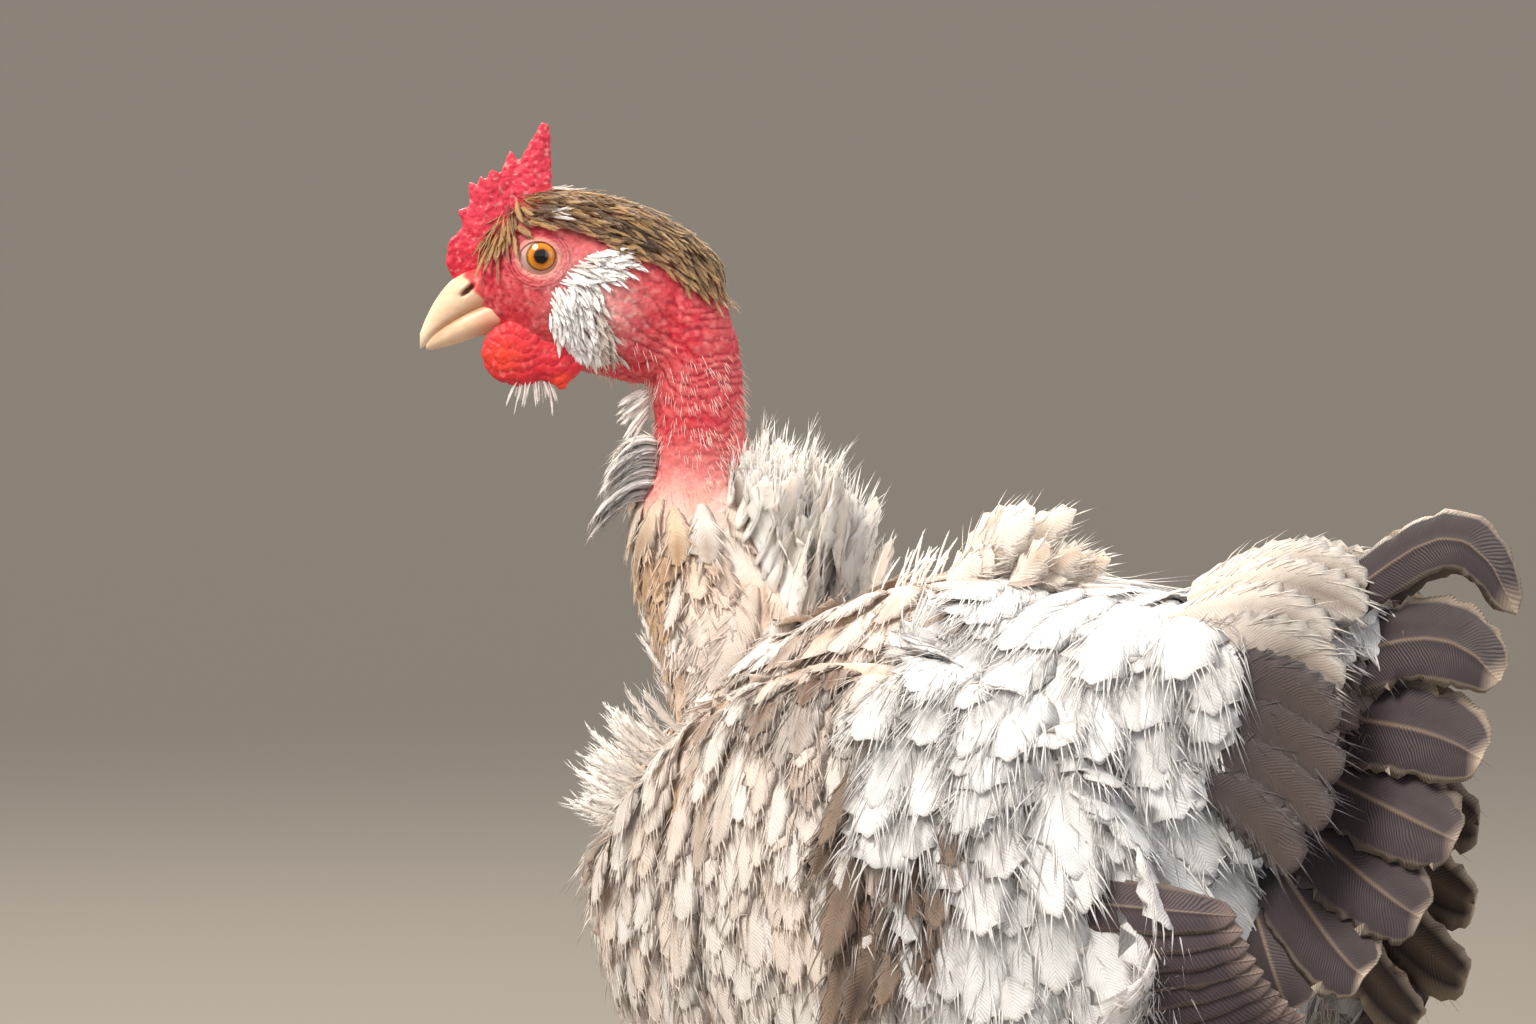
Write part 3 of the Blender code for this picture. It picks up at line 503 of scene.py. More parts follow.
move += 0.0008 * brow
p = p + n * move[:, None]
f, l, u = head_coordinates(p)
near_eye = np.sqrt((f * 0.95) ** 2 + u ** 2) < SOCKET_REACH
push = np.where(near_eye, np.sign(l) * np.minimum(np.abs(l), SOCKET_DEPTH) - l, 0)
p = p + np.array(LEFT) * push[:, None]
points[bare] = p
move_points(body_mesh, points)
print("folded points:", len(bare))

# %% [markdown]
# ## Eyelids
# A hen's lids are a thin wrinkled rim round a nearly round opening, a little wider than high. A lid is made
# on a polar grid: rings of points from the cheek in to the eyeball, each with its height over the skin. Two
# low folds run round it before the rim turns in and meets the eye.

# %% Lid patches
LID_MIDDLE = (0.0007, -0.0005)
LID_HALF = (0.0049, 0.0043)
# Distance from the opening's edge, share of the way from the skin to the eyeball, and lift
LID_PROFILE = (
    (0.0052, 0.0, -0.0009), (0.0042, 0.0, -0.0001), (0.0036, 0.0, 0.00025), (0.0031, 0.0, 0.0001),
    (0.0027, 0.0, 0.0004), (0.0023, 0.05, 0.0002), (0.0019, 0.1, 0.0005), (0.0015, 0.25, 0.0004),
    (0.0011, 0.45, 0.0008), (0.0007, 0.65, 0.0009), (0.0004, 0.85, 0.0008), (0.0001, 1.0, 0.0006),
    (0.0, 1.0, 0.0003), (0.0001, 1.0, -0.0004), (0.0006, 1.0, -0.0012),
)
LID_AROUND = 72


def lid_patch(side):
    """Points and faces of the lids of one eye."""
    points = []
    for ring, (reach, share, lift) in enumerate(LID_PROFILE):
        for i in range(LID_AROUND):
            angle = 2 * math.pi * i / LID_AROUND
            ripple = 0.00012 * math.sin(9 * angle + ring) + 0.00008 * math.sin(23 * angle + 2 * ring)
            f = LID_MIDDLE[0] + (LID_HALF[0] + reach) * math.cos(angle)
            u = LID_MIDDLE[1] + (LID_HALF[1] + reach) * math.sin(angle)
            hit = HEAD_TREE.ray_cast(on_head(f, side * 0.04, u), -LEFT * side)[0]
            skin = (hit - BETWEEN_EYES).dot(LEFT) * side
            ball = EYE_SIDE + math.sqrt(max(EYE_RADIUS ** 2 - f * f - u * u, 0))
            height = skin * (1 - share) + ball * share + lift + ripple * (share < 0.9)
            points.append(on_head(f, side * height, u))
    faces = ring_faces(len(LID_PROFILE), LID_AROUND)
    return points, faces if side < 0 else [face[::-1] for face in faces]


# %% [markdown]
# ## Comb and wattles
# Comb and wattles are thick skin full of blood, with a grain of tiny bumps. The comb is a ladder of points
# from its root to its rim, melted fine so that its points turn round, and then roughened. The wattles are
# two lobes that hang from the jaw, with folds that run along them.

# %% Comb and wattle forms
COMB_ROOT = (
    (0.016, -0.01), (0.015, -0.0075), (0.0135, -0.0045), (0.012, -0.0015), (0.0108, 0.001), (0.0098, 0.003),
    (0.0085, 0.005), (0.0075, 0.0062), (0.0065, 0.0072), (0.0055, 0.008), (0.0045, 0.0087), (0.003, 0.0094),
    (0.0015, 0.01), (0.0, 0.0104), (-0.001, 0.0108), (-0.0015, 0.011), (-0.002, 0.0112), (-0.0025, 0.0114),
    (-0.003, 0.0115),
)
COMB_RIM = (
    (0.0228, -0.0072), (0.025, -0.0022), (0.024, 0.003), (0.0205, 0.0072), (0.0218, 0.0112), (0.0187, 0.0122),
    (0.019, 0.0187), (0.0166, 0.0174), (0.0158, 0.0204), (0.0145, 0.019), (0.013, 0.0221), (0.0108, 0.0205),
    (0.0082, 0.0268), (0.006, 0.0236), (0.0032, 0.0285), (0.0004, 0.0338), (-0.0018, 0.0334),
    (-0.0022, 0.027), (-0.0022, 0.0185),
)
COMB_HALF = ((-0.35, 0.0026), (0.0, 0.0024), (0.5, 0.0018), (0.85, 0.0013), (1.0, 0.0007))
WATTLE_LOBES = (
    ((0.0058, 0.0072, -0.0252), (0.0098, 0.003, 0.0086)),
    ((-0.0035, 0.0075, -0.0268), (0.0078, 0.0026, 0.0064)),
    ((-0.005, 0.0078, -0.0315), (0.0022, 0.0016, 0.0032)),
)


def comb_form():
    """The comb as a closed ladder, a little thinner at every point of its rim."""
    points = []
    for root, rim in zip(COMB_ROOT, COMB_RIM):
        near, far = [], []
        for part, half in COMB_HALF:
            forward = root[0] + (rim[0] - root[0]) * part
            up = root[1] + (rim[1] - root[1]) * part
            wave = 0.001 * max(part, 0) * math.sin(forward * 500 + 1)
            near.append(on_head(forward, wave + half, up))
            far.append(on_head(forward, wave - half, up))
        points += near + far[::-1]
    return points, capped(len(COMB_ROOT), 2 * len(COMB_HALF))


def egg(centre, size, axes, around=32, rows=18):
    """An egg shaped form with half sizes along three directions."""
    points = []
    for k in range(rows + 1):
        fall = math.pi * k / rows
        for i in range(around):
            turn = 2 * math.pi * i / around
            way = (math.sin(fall) * math.cos(turn), math.sin(fall) * math.sin(turn), math.cos(fall))
            points.append(centre + sum((axis * half * c for axis, half, c in zip(axes, size, way)), Vector()))
    return points, [(a, d, c, b) for a, b, c, d in ring_faces(rows + 1, around)]


def wattle_forms(side):
    return [egg(on_head(f, side * l, u), size, (FORWARD, LEFT, UP)) for (f, l, u), size in WATTLE_LOBES]


def roughened(mesh, moves):
    """The mesh with each point moved along its normal."""
    places = coordinates(mesh)
    places += coordinates(mesh, "normal") * moves(places)[:, None]
    return move_points(mesh, places)


def comb_grain(places):
    return 0.0006 * (cloud(places, 520, 7) - 0.5) + 0.0004 * (cloud(places, 1100, 8) - 0.5)


def wattle_folds(places):
    f, _, u = head_coordinates(places)
    warp = cloud(places, 200, 9) - 0.5
    bow = np.sqrt((f - 0.006) ** 2 + (u + 0.012) ** 2)
    folds = np.abs(np.sin(math.pi * (bow + warp * 0.004) / 0.003)) ** 0.7 - 0.6
    return 0.0003 * folds * smoothstep(0.004, 0.009, bow) + 0.0004 * (cloud(places, 700, 10) - 0.5)


comb_mesh = roughened(melted("comb", [comb_form()], 0.00038, 6), comb_grain)
wattle_mesh = roughened(melted("wattles", wattle_forms(1) + wattle_forms(-1), 0.00042, 8), wattle_folds)
print("comb:", len(comb_mesh.vertices), "points; wattles:", len(wattle_mesh.vertices), "points")

# %% [markdown]
# ## A feather as a mesh
# A body feather is a shaft with soft barbs down both sides. They cling together in a vane and part at its
# edge, so the outline is ragged. Here the vane is a thin closed tube of six points round with notched edges,
# and the loose barbs are blades of seven points that leave its edge and end in a point. A few thousand such
# feathers are made together as arrays, because one object each would be slow. The export drops particle
# hair, so every blade is real mesh.

# %% Arrays that become meshes
def plain_mesh(name, points, faces):
    mesh = bpy.data.meshes.new(name)
    mesh.from_pydata([tuple(p) for p in points], [], faces)
    mesh.update()
    return mesh


def joined(name, meshes):
    """One mesh with the points and faces of several."""
    bm = bmesh.new()
    for mesh in meshes:
        bm.from_mesh(mesh)
    whole = bpy.data.meshes.new(name)
    bm.to_mesh(whole)
    bm.free()
    return whole


def painted(mesh, paint):
    """The mesh with a colour on each point, as the attribute paint."""
    attribute = mesh.attributes.new("paint", "FLOAT_COLOR", "POINT")
    attribute.data.foreach_set("color", np.c_[paint, np.ones(len(paint))].astype(np.float32).ravel())
    return mesh


def mesh_from_arrays(name, points, triangles, paint, line=None, roots=None, patch=None):
    """A mesh from arrays, with its colours as the attribute paint and, for a coat, its OFBake map."""
    mesh = bpy.data.meshes.new(name)
    mesh.vertices.add(len(points))
    mesh.vertices.foreach_set("co", np.asarray(points, np.float32).ravel())
    mesh.loops.add(triangles.size)
    mesh.loops.foreach_set("vertex_index", triangles.astype(np.int32).ravel())
    mesh.polygons.add(len(triangles))
    mesh.polygons.foreach_set("loop_start", np.arange(0, triangles.size, 3, dtype=np.int32))
    mesh.update(calc_edges=True)
    painted(mesh, paint)
    if line is not None:
        mesh.attributes.new("barb_line", "FLOAT", "POINT").data.foreach_set("value", line.astype(np.float32))
    if patch is not None:
        uv = mesh.uv_layers.new(name="OFBake")
        place = unwrap(roots) + (patch - 0.5) * PATCH
        uv.data.foreach_set("uv", place[triangles.ravel()].astype(np.float32).ravel())
    mesh.validate()
    return mesh


PATCH = 0.003
BODY_AXIS_HEIGHT = 0.205
BODY_LENGTH = (-0.16, 0.19)
NECK_TOP = (0.27, 0.41)


def unwrap(places):
    """The skin's own unwrap: round the body's long axis, or round the neck above the shoulders."""
    x, y, z = body_coordinates(places)
    round_body = 0.25 + 0.24 * np.arctan2(y, z - BODY_AXIS_HEIGHT) / math.pi
    along_body = (x - BODY_LENGTH[0]) / (BODY_LENGTH[1] - BODY_LENGTH[0])
    round_neck = 0.75 + 0.24 * np.arctan2(y + 0.015, -x - 0.085) / math.pi
    up_neck = (z - NECK_TOP[0]) / (NECK_TOP[1] - NECK_TOP[0])
    above = (z > 0.3) & (x < -0.04)
    u = np.where(above, round_neck, round_body)
    v = np.where(above, up_neck, along_body)
    return np.c_[np.clip(u, 0.005, 0.995), np.clip(v, 0.005, 0.995)]


# %% The surface that feathers grow from
SKIN_TREE = surface_tree(body_mesh)
skin_points = coordinates(body_mesh)
skin_normals = coordinates(body_mesh, "normal")


def on_skin(x, y, z):
    """The nearest place on the skin to a point of the body."""
    return SKIN_TREE.find_nearest(on_body(x, y, z))[0]


def scatter(region, spacing, seed):
    """Evenly spread roots where region says so, no two nearer than the spacing there."""
    draw = np.random.default_rng(seed)
    order = draw.permutation(len(skin_points))
    local = skin_points[order] - np.array(FLOOR_POINT)
    keep = region(local, skin_normals[order])
    order, local = order[keep], local[keep]
    gaps = spacing(local) if callable(spacing) else np.full(len(local), spacing)
    cell = gaps.max() if len(gaps) else 1
    grid, chosen = {}, []
    for index, place, gap in zip(order, local, gaps):
        key = tuple((place // cell).astype(int))
        near = [
            other for dx in (-1, 0, 1) for dy in (-1, 0, 1) for dz in (-1, 0, 1)
            for other in grid.get((key[0] + dx, key[1] + dy, key[2] + dz), ())
        ]
        if near and (((np.array(near) - place) ** 2).sum(1)).min() < gap * gap:
            continue
        grid.setdefault(key, []).append(place)
        chosen.append(index)
    return skin_points[chosen]


# %% [markdown]
# ## The lay of the coat
# Feathers lie like tiles: each grows back and down over the root of the next. A flow gives the direction at
# any place. A spine is stepped along the flow over the skin, rises a little towards its tip, and is stiff
# enough to stand off where the body curves away under it.

# %% Flow and spines
def along_skin(way, normal):
    """The direction laid flat on the skin, with a length of 1."""
    return (way - normal * way.dot(normal)).normalized()


def flow(place, normal):
    """The way that feathers lie at a place of the skin."""
    x, y, z = place - FLOOR_POINT
    side = 1 if y > 0 else -1
    middle = math.exp(-(y / 0.011) ** 2) * max(normal.z, 0)
    lean = float(np.interp(x, (-0.06, 0.0, 0.05, 0.085, 0.11), (0.02, 0.14, 0.42, 0.95, 1.6)))
    leg = float(np.interp(z, (0.1, 0.155), (1, 0)))
    back = lean + 1.3 * middle + 2.0 * max(-normal.z - 0.3, 0) + 0.9 * leg
    outward = side * min(abs(y) / 0.02, 1) * max(normal.z, 0) * 1.1
    return along_skin(Vector((back, outward, -1.0)), normal)


def down_flow(place, normal):
    """Straight down the neck base and the breast, and back under it."""
    return along_skin(Vector((0.15, 0, -1)), normal)


def spines(roots, lengths, lifts, way=flow, steps=7, stiff=0.5, spread=0.0, seed=1):
    """Points and outward directions of a spine from each root; lifts are its heights at root and tip."""
    draw = np.random.default_rng(seed)
    points = np.empty((len(roots), steps, 3))
    outs = np.empty_like(points)
    for i, root in enumerate(roots):
        foot, out = SKIN_TREE.find_nearest(Vector(root))[:2]
        low, high = lifts[i]
        place = foot + out * low
        heading = way(foot, out)
        bend = draw.normal(0, spread)
        heading = (heading + out.cross(heading) * bend).normalized()
        step = lengths[i] / (steps - 1)
        for k in range(steps):
            points[i, k] = place
            outs[i, k] = out
            target = way(foot, out)
            target = (target + out.cross(target) * bend).normalized()
            heading = (heading * stiff + target * (1 - stiff)).normalized()
            ahead = place + heading * step
            foot, new_out = SKIN_TREE.find_nearest(ahead)[:2]
            out = (out * stiff + new_out * (1 - stiff)).normalized()
            height = (ahead - foot).dot(new_out)
            wanted = low + (high - low) * ((k + 1) / (steps - 1)) ** 1.3
            settled = max(wanted, height * stiff + wanted * (1 - stiff))
            place = ahead + new_out * (settled - height)
    return points, outs


def frames(points, outs):
    """Directions along and across each spine."""
    along = np.gradient(points, axis=1)
    along /= np.linalg.norm(along, axis=2, keepdims=True) + 1e-12
    side = np.cross(along, outs)
    side /= np.linalg.norm(side, axis=2, keepdims=True) + 1e-12
    return along, side, np.cross(side, along)


def sample(array, shares):
    """Values of (feathers, steps, 3) arrays at the given shares (feathers, barbs) of the spine."""
    steps = array.shape[1]
    place = np.clip(shares, 0, 1) * (steps - 1)
    low = np.minimum(place.astype(int), steps - 2)
    part = (place - low)[..., None]
    rows = np.arange(len(array))[:, None]
    return array[rows, low] * (1 - part) + array[rows, low + 1] * part


# %% Soft feathers
SHAFT_RIDGE = 0.00022


def vane_loops(points, outs, widths, shape, ragged, droop, thick, seed):
    """Loops of six points round each vane, and their share along, share out and barb line."""
    draw = np.random.default_rng(seed)
    count, rows = len(points), len(shape)
    at = np.tile(shape[:, 0], (count, 1))
    root = sample(points, at)
    along, side, up = (sample(array, at) for array in frames(points, outs))
    half = widths[:, None] * shape[:, 1]
    row = np.arange(rows)
    tooth = np.where(row % 2 == 1, 1.0, -1.0) * (row > 1) * (row < rows - 1)
    loops, outward, line = [], [], []
    length = np.linalg.norm(np.diff(points, axis=1), axis=2).sum(1)[:, None]
    for place, height in ((1.0, 0.0), (0.5, 0.6), (0.0, 1.0), (-0.5, 0.6), (-1.0, 0.0), (0.0, -1.0)):
        edge = abs(place) == 1
        notch = (1 + tooth * ragged * (0.4 + 1.2 * draw.random(at.shape))) if edge else np.ones(at.shape)
        reach = half * place * notch
        push = tooth * ragged * widths[:, None] * 0.5 * edge
        rise = np.minimum(SHAFT_RIDGE, widths * 0.12)[:, None] * height
        rise = rise if height >= 0 else np.full((count, 1), -thick)
        fall = droop * widths[:, None] * abs(place) ** 1.6 * shape[:, 1]
        point = root + side * reach[..., None] + along * push[..., None] + up * (rise - fall)[..., None]
        loops.append(point)
        outward.append(np.full(at.shape, abs(place)))
        line.append(at * length - 1.1 * np.abs(reach))
    return np.stack(loops, 2), at, np.stack(outward, 2), np.stack(line, 2)


def closed_tubes(loops):
    """Triangles that join loops (feathers, rows, around) into closed tubes, with flat ends."""
    count, rows, around = loops.shape[:3]
    i = np.arange(around)
    j = (i + 1) % around
    quads = []
    for k in range(rows - 1):
        a, b = k * around, (k + 1) * around
        quads += [np.c_[a + i, a + j, b + j], np.c_[a + i, b + j, b + i]]
    first = np.array([(0, k + 1, k) for k in range(1, around - 1)])
    last = np.array([(0, k, k + 1) for k in range(1, around - 1)]) + (rows - 1) * around
    pattern = np.concatenate(quads + [first, last])
    return (np.arange(count)[:, None, None] * rows * around + pattern).reshape(-1, 3)


VANE = np.array([(0.0, 0.3), (0.16, 0.62), (0.32, 0.86), (0.47, 0.98), (0.6, 1.0), (0.72, 0.96), (0.82, 0.84),
                 (0.9, 0.64), (0.96, 0.38), (1.0, 0.06)])


def soft_feathers(points, outs, widths, strands=12, blade=0.00026, ragged=0.13, droop=0.18, fringe=0.22,
                  angles=(38, 6), first=0.25, loft=0.0, thick=0.00012, shape=VANE, seed=3):
    """Arrays for feathers that are a thin vane with loose strands round its edge."""
    draw = np.random.default_rng(seed)
    count = len(points)
    loops, at, out_share, line = vane_loops(points, outs, widths, shape, ragged, droop, thick, seed + 50)
    tubes = closed_tubes(loops)
    parts = [(loops.reshape(-1, 3), tubes, np.repeat(np.arange(count), loops.shape[1] * 6),
              np.repeat(at.ravel(), 6), out_share.ravel() * 0.6, line.ravel())]
    along, side, up = frames(points, outs)
    length = np.linalg.norm(np.diff(points, axis=1), axis=2).sum(1)[:, None]
    offset = loops.size // 3
    pattern = np.array([
        (0, 3, 4), (0, 4, 1), (1, 4, 5), (1, 5, 2), (2, 5, 3),
        (2, 3, 0), (3, 6, 4), (4, 6, 5), (5, 6, 3), (0, 1, 2),
    ])
    for hand in (1, -1):
        shares = np.linspace(first, 0.96, strands) + draw.normal(0, 0.3 / strands, (count, strands))
        shares = np.clip(shares, 0.05, 0.97)
        root, a, s, u = (sample(array, shares) for array in (points, along, side, up))
        wide = widths[:, None] * np.interp(shares, shape[:, 0], shape[:, 1])
        start = 0.35 + 0.3 * draw.random(shares.shape)
        root = root + s * (hand * wide * start)[..., None] - u * (wide * droop * start ** 1.6)[..., None]
        degrees = angles[0] + (angles[1] - angles[0]) * shares ** 1.3 + draw.normal(0, 9, shares.shape)
        angle = np.radians(degrees)
        size = (wide * 0.6 + widths[:, None] * 0.5) * (1 + fringe) * (0.7 + 0.6 * draw.random(shares.shape))
        way = a * np.cos(angle)[..., None] + s * (hand * np.sin(angle))[..., None]
        across = np.cross(u, way)
        lift = draw.normal(0, 0.16, shares.shape) + loft
        half = blade * (0.7 + 0.6 * draw.random(shares.shape))
        rings = []
        for t, share_wide in ((0.0, 0.9), (0.5, 1.0)):
            rise = size * (lift - droop) * t * t + 0.0001
            centre = root + way * (size * t)[..., None] + u * rise[..., None]
            edge = across * (half * share_wide)[..., None]
            rings += [centre + edge, centre + u * (half * 0.5)[..., None], centre - edge]
        tip = root + (way + a * 0.25) * size[..., None] + u * (size * (lift * 1.1 - droop))[..., None]
        blades = np.stack(rings + [tip], axis=2)
        number = count * strands
        steps = np.array([0, 0, 0, 0.5, 0.5, 0.5, 1.0])
        parts.append((
            blades.reshape(-1, 3), (np.arange(number)[:, None, None] * 7 + pattern + offset).reshape(-1, 3),
            np.repeat(np.arange(count), strands * 7), np.repeat(shares.ravel(), 7),
            np.tile(0.5 + 0.5 * steps, number), np.repeat((shares * length).ravel(), 7),
        ))
        offset += number * 7
    return tuple(np.concatenate(part) for part in zip(*parts))


# %% [markdown]
# ## Markings
# The hen is cream white with peach, and brown edges and streaks on the shoulders. The saddle over her hip is
# pure white. The same function paints the skin and the feathers, so any gap between feathers has their
# colour, which skin_paint makes a little darker as painted shade. It works from the place on the body and
# from smooth noise, so both sides of the bird agree.

# %% Markings of the body
CREAM, PEACH, TAN = linear("F6EDE5"), linear("EDD3C0"), linear("C9A17E")
BROWN, CHARCOAL, PURE = linear("705445"), linear("40373A"), linear("F6F5F6")


def blend(low, high, share):
    """Colours between two, each one colour or a row of them, by a share for each row."""
    return np.asarray(low) + (np.asarray(high) - low) * np.reshape(share, (-1, 1))


def blob(local, centre, reach, sharp=1.0):
    """1 in the middle of an egg shaped patch of the side, fading to 0 at its reach."""
    x = (local[:, 0] - centre[0]) / reach[0]
    z = (local[:, 2] - centre[1]) / reach[1]
    return np.clip((1 - np.sqrt(x * x + z * z)) * 2.2 * sharp, 0, 1)


def markings(places):
    """Base colour, tip colour, streak colour and streak strength of feathers at these places."""
    local = places - np.array(FLOOR_POINT)
    x, _, z = local.T
    count = len(places)
    warm = smoothstep(0.42, 0.62, cloud(places, 90, 1))
    base = blend(CREAM, PEACH, warm * 0.85)
    shoulder = smoothstep(0.055, 0.02, x) * smoothstep(0.2, 0.24, z)
    base = blend(base, TAN, 0.45 * shoulder * smoothstep(0.5, 0.7, cloud(places, 60, 2)))
    tip = blend(base, CREAM, 0.6)
    patch = smoothstep(0.52, 0.66, cloud(places, 130, 3))
    edge = smoothstep(0.238, 0.262, z) * smoothstep(0.05, 0.03, x) * smoothstep(-0.055, -0.035, x)
    chevrons = smoothstep(0.47, 0.56, cloud(places, 210, 9))
    strength = np.maximum(shoulder * patch * 0.75, edge * chevrons)
    tip = blend(tip, BROWN, edge * chevrons * 0.55)
    belly = smoothstep(0.165, 0.14, z)
    base = blend(base, CREAM, belly)
    saddle = np.maximum(blob(local, (0.085, 0.235), (0.06, 0.075)), smoothstep(0.03, 0.06, x))
    saddle = saddle * smoothstep(0.178, 0.205, z)
    base = blend(base, PURE, saddle * 0.9)
    tip = blend(tip, PURE, saddle)
    strength = strength * (1 - saddle * 0.9)
    dark = smoothstep(0.096, 0.108, x) * smoothstep(0.276, 0.268, z) * smoothstep(0.19, 0.21, z)
    base = blend(base, CHARCOAL, dark * 0.85)
    tip = blend(tip, BROWN, dark)
    return base, tip, np.tile(BROWN, (count, 1)), strength


def feather_paint(marks, owner, share, outward, line, seed):
    """The colour of each point: streaked along the shaft, with each strand a little different."""
    base, tip, streak, strength = marks
    draw = np.random.default_rng(seed)
    towards = np.clip(outward * 0.6 + share * 0.5, 0, 1)
    colour = base[owner] + (tip[owner] - base[owner]) * towards[:, None]
    shaft = np.clip(1 - outward * 1.2, 0, 1) * np.clip((share - 0.35) * 3, 0, 1)
    colour = colour + (streak[owner] - colour) * (shaft * strength[owner])[:, None]
    shade = 1 + draw.normal(0, 0.035, len(base))[owner] + 0.16 * ((line * 91733 + owner * 0.37) % 1 - 0.5)
    return np.clip(colour * shade[:, None], 0, 1)


# %% [markdown]
# ## Feather material
# A feather is keratin, matt and faintly translucent. Its barbs scatter light like a fine cloth, so the
# shader has a little sheen and subsurface light. The colour comes from the attribute paint, with a fine
# mottle and painted shade in the grooves between the barbs.

# %% Keratin of the feathers
def feather_material(name, roughness=0.75, sheen=0.15, glow=0.35, barb_gap=0.0011, groove_shade=0.13, ridges=0.3):
    material, tree, shader = new_material(
        name, Roughness=roughness, IOR=1.54, Sheen_Weight=sheen, Sheen_Roughness=0.5,
        Subsurface_Weight=glow, Subsurface_Scale=0.004, Specular_IOR_Level=0.25,
    )
    shader.inputs["Subsurface Radius"].default_value = (1.0, 0.75, 0.6)
    paint = add_node(tree, "ShaderNodeAttribute", {"attribute_name": "paint"}).outputs["Color"]
    where = add_node(tree, "ShaderNodeTexCoord").outputs["Object"]
    mottle = add_node(tree, "ShaderNodeTexNoise", Vector=where, Scale=600.0, Detail=2.0).outputs["Fac"]
    level = add_node(tree, "ShaderNodeMapRange", Value=mottle, To_Min=0.9, To_Max=1.08).outputs["Result"]
    line = add_node(tree, "ShaderNodeAttribute", {"attribute_name": "barb_line"}).outputs["Fac"]
    loose = add_node(tree, "ShaderNodeTexNoise", Vector=where, Scale=90.0, Detail=2.0).outputs["Fac"]
    bent_line = add_node(tree, "ShaderNodeMath", {"operation": "MULTIPLY_ADD"},
                         _0=loose, _1=barb_gap * 5, _2=line).outputs[0]
    phase = add_node(tree, "ShaderNodeMath", {"operation": "MULTIPLY"}, _0=bent_line,
                     _1=2 * math.pi / barb_gap)
    ripple = add_node(tree, "ShaderNodeMath", {"operation": "SINE"}, _0=phase.outputs[0]).outputs[0]
    # The colour is darkest where the barb ripple sinks, the same ripple that the bump uses: painted shade in the
    # grooves between barbs.
    barbs = add_node(tree, "ShaderNodeMapRange", Value=ripple, From_Min=-1.0, To_Min=1.05 - groove_shade,
                     To_Max=1.05)
    level = add_node(tree, "ShaderNodeMath", {"operation": "MULTIPLY"}, _0=level, _1=barbs.outputs["Result"])
    tone = add_node(tree, "ShaderNodeVectorMath", {"operation": "SCALE"}, _0=paint, Scale=level.outputs[0])
    tree.links.new(tone.outputs["Vector"], shader.inputs["Base Color"])
    bump = add_node(tree, "ShaderNodeBump", Height=ripple, Strength=ridges, Distance=0.0002)
    tree.links.new(bump.outputs["Normal"], shader.inputs["Normal"])
    return material


FEATHER = feather_material("feather_keratin")
DOWN = feather_material("down_keratin", glow=0.5, groove_shade=0.02, ridges=0.0)


def add_piece(name, mesh, material, slot, *stands_for, smooth=False):
    """An object of the hen that rides on its one body and may stand for solids."""
    mesh.materials.clear()
    mesh.materials.append(material)
    if smooth:
        mesh.shade_smooth()
    obj = placed(name, mesh)
    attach(obj, "root")
    if stands_for:
        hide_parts(*stands_for)
    print(f"{name}: {len(mesh.polygons)} faces")
    return obj


# Tips that stand further out than this from the middle are drawn in, as a hen's flank feathers lie close.
COAT_EDGE = 0.0705


def feather_piece(name, points, outs, widths, slot, stands_for=(), paints=markings, seed=1, material=None,
                  **barbs):
    """A piece of coat: a soft feather along each spine, painted by its place."""
    made, triangles, owner, share, outward, line = soft_feathers(points, outs, widths, seed=seed + 1, **barbs)
    past = np.maximum(np.abs(made[:, 1]) - COAT_EDGE, 0)
    made[:, 1] -= np.sign(made[:, 1]) * past * 0.5
    paint = feather_paint(paints(points[:, 4]), owner, share, outward, line, seed + 2)
    patch = np.c_[share, 0.5 + outward * 0.5]
    mesh = mesh_from_arrays(name, made, triangles, paint, line, points[owner, 0], patch)
    return add_piece(name, mesh, material or FEATHER, slot, *stands_for)


def coat(name, roots, lengths, widths, lifts, slot, stands_for=(), paints=markings, seed=1, way=flow,
         stiff=0.5, spread=0.12, **barbs):
    """A piece of coat along the skin. A size is an array, or the values that uneven makes one from."""
    many = len(roots)
    lengths, widths = (uneven(many, *size) if isinstance(size, tuple) else size for size in (lengths, widths))
    lifts = lifts_between(many, *lifts) if isinstance(lifts, tuple) else lifts
    points, outs = spines(roots, lengths, lifts, way, stiff=stiff, spread=spread, seed=seed)
    return feather_piece(name, points, outs, widths, slot, stands_for, paints, seed, **barbs)


# %% Coat of the body, the wings and the thighs
def uneven(count, middle, share, seed):
    """Values round a middle one, changed at random by about a share of it, as real feathers are."""
    return middle * np.clip(1 + np.random.default_rng(seed).normal(0, share, count), 0.6, 1.5)


def lifts_between(count, low, high, seed):
    draw = np.random.default_rng(seed)
    return np.c_[np.full(count, low), high * (0.75 + 0.5 * draw.random(count))]


def wing_region(local, normals):
    x, y, z = local.T
    return (np.abs(y) > 0.033) & (z > 0.15) & (z < 0.262) & (x > -0.082) & (x < 0.06)


def crop_region(local, normals):
    x, _, z = local.T
    return (x < -0.038) & (z > 0.243) & (z < 0.303) & (normals[:, 0] < 0.6)


def body_region(local, normals):
    x, _, z = local.T
    bare = (x < -0.03) & (z > 0.285)
    return (z > 0.1) & (x < 0.125) & ~bare & ~wing_region(local, normals) & ~crop_region(local, normals)


def on_side(roots, side):
    """The roots on one side of the hen: -1 is her left."""
    return roots[(roots[:, 1] - FLOOR_POINT.y) * side > 0]


wing_roots, body_roots = scatter(wing_region, 0.0058, 11), scatter(body_region, 0.0074, 21)
for name, side in (("left", -1), ("right", 1)):
    coat("wing_coverts_" + name, on_side(wing_roots, side), (0.031, 0.16, 12 + side),
         (0.0056, 0.16, 15 + side), (0.0008, 0.0042, 18 + side), "white_feather", ("wing_" + name,), seed=21 + side)
    coat("body_feathers_" + name, on_side(body_roots, side), (0.031, 0.12, 24 + side),
         (0.0066, 0.1, 27 + side), (0.0006, 0.0042, 30 + side), "white_feather", seed=33 + side)

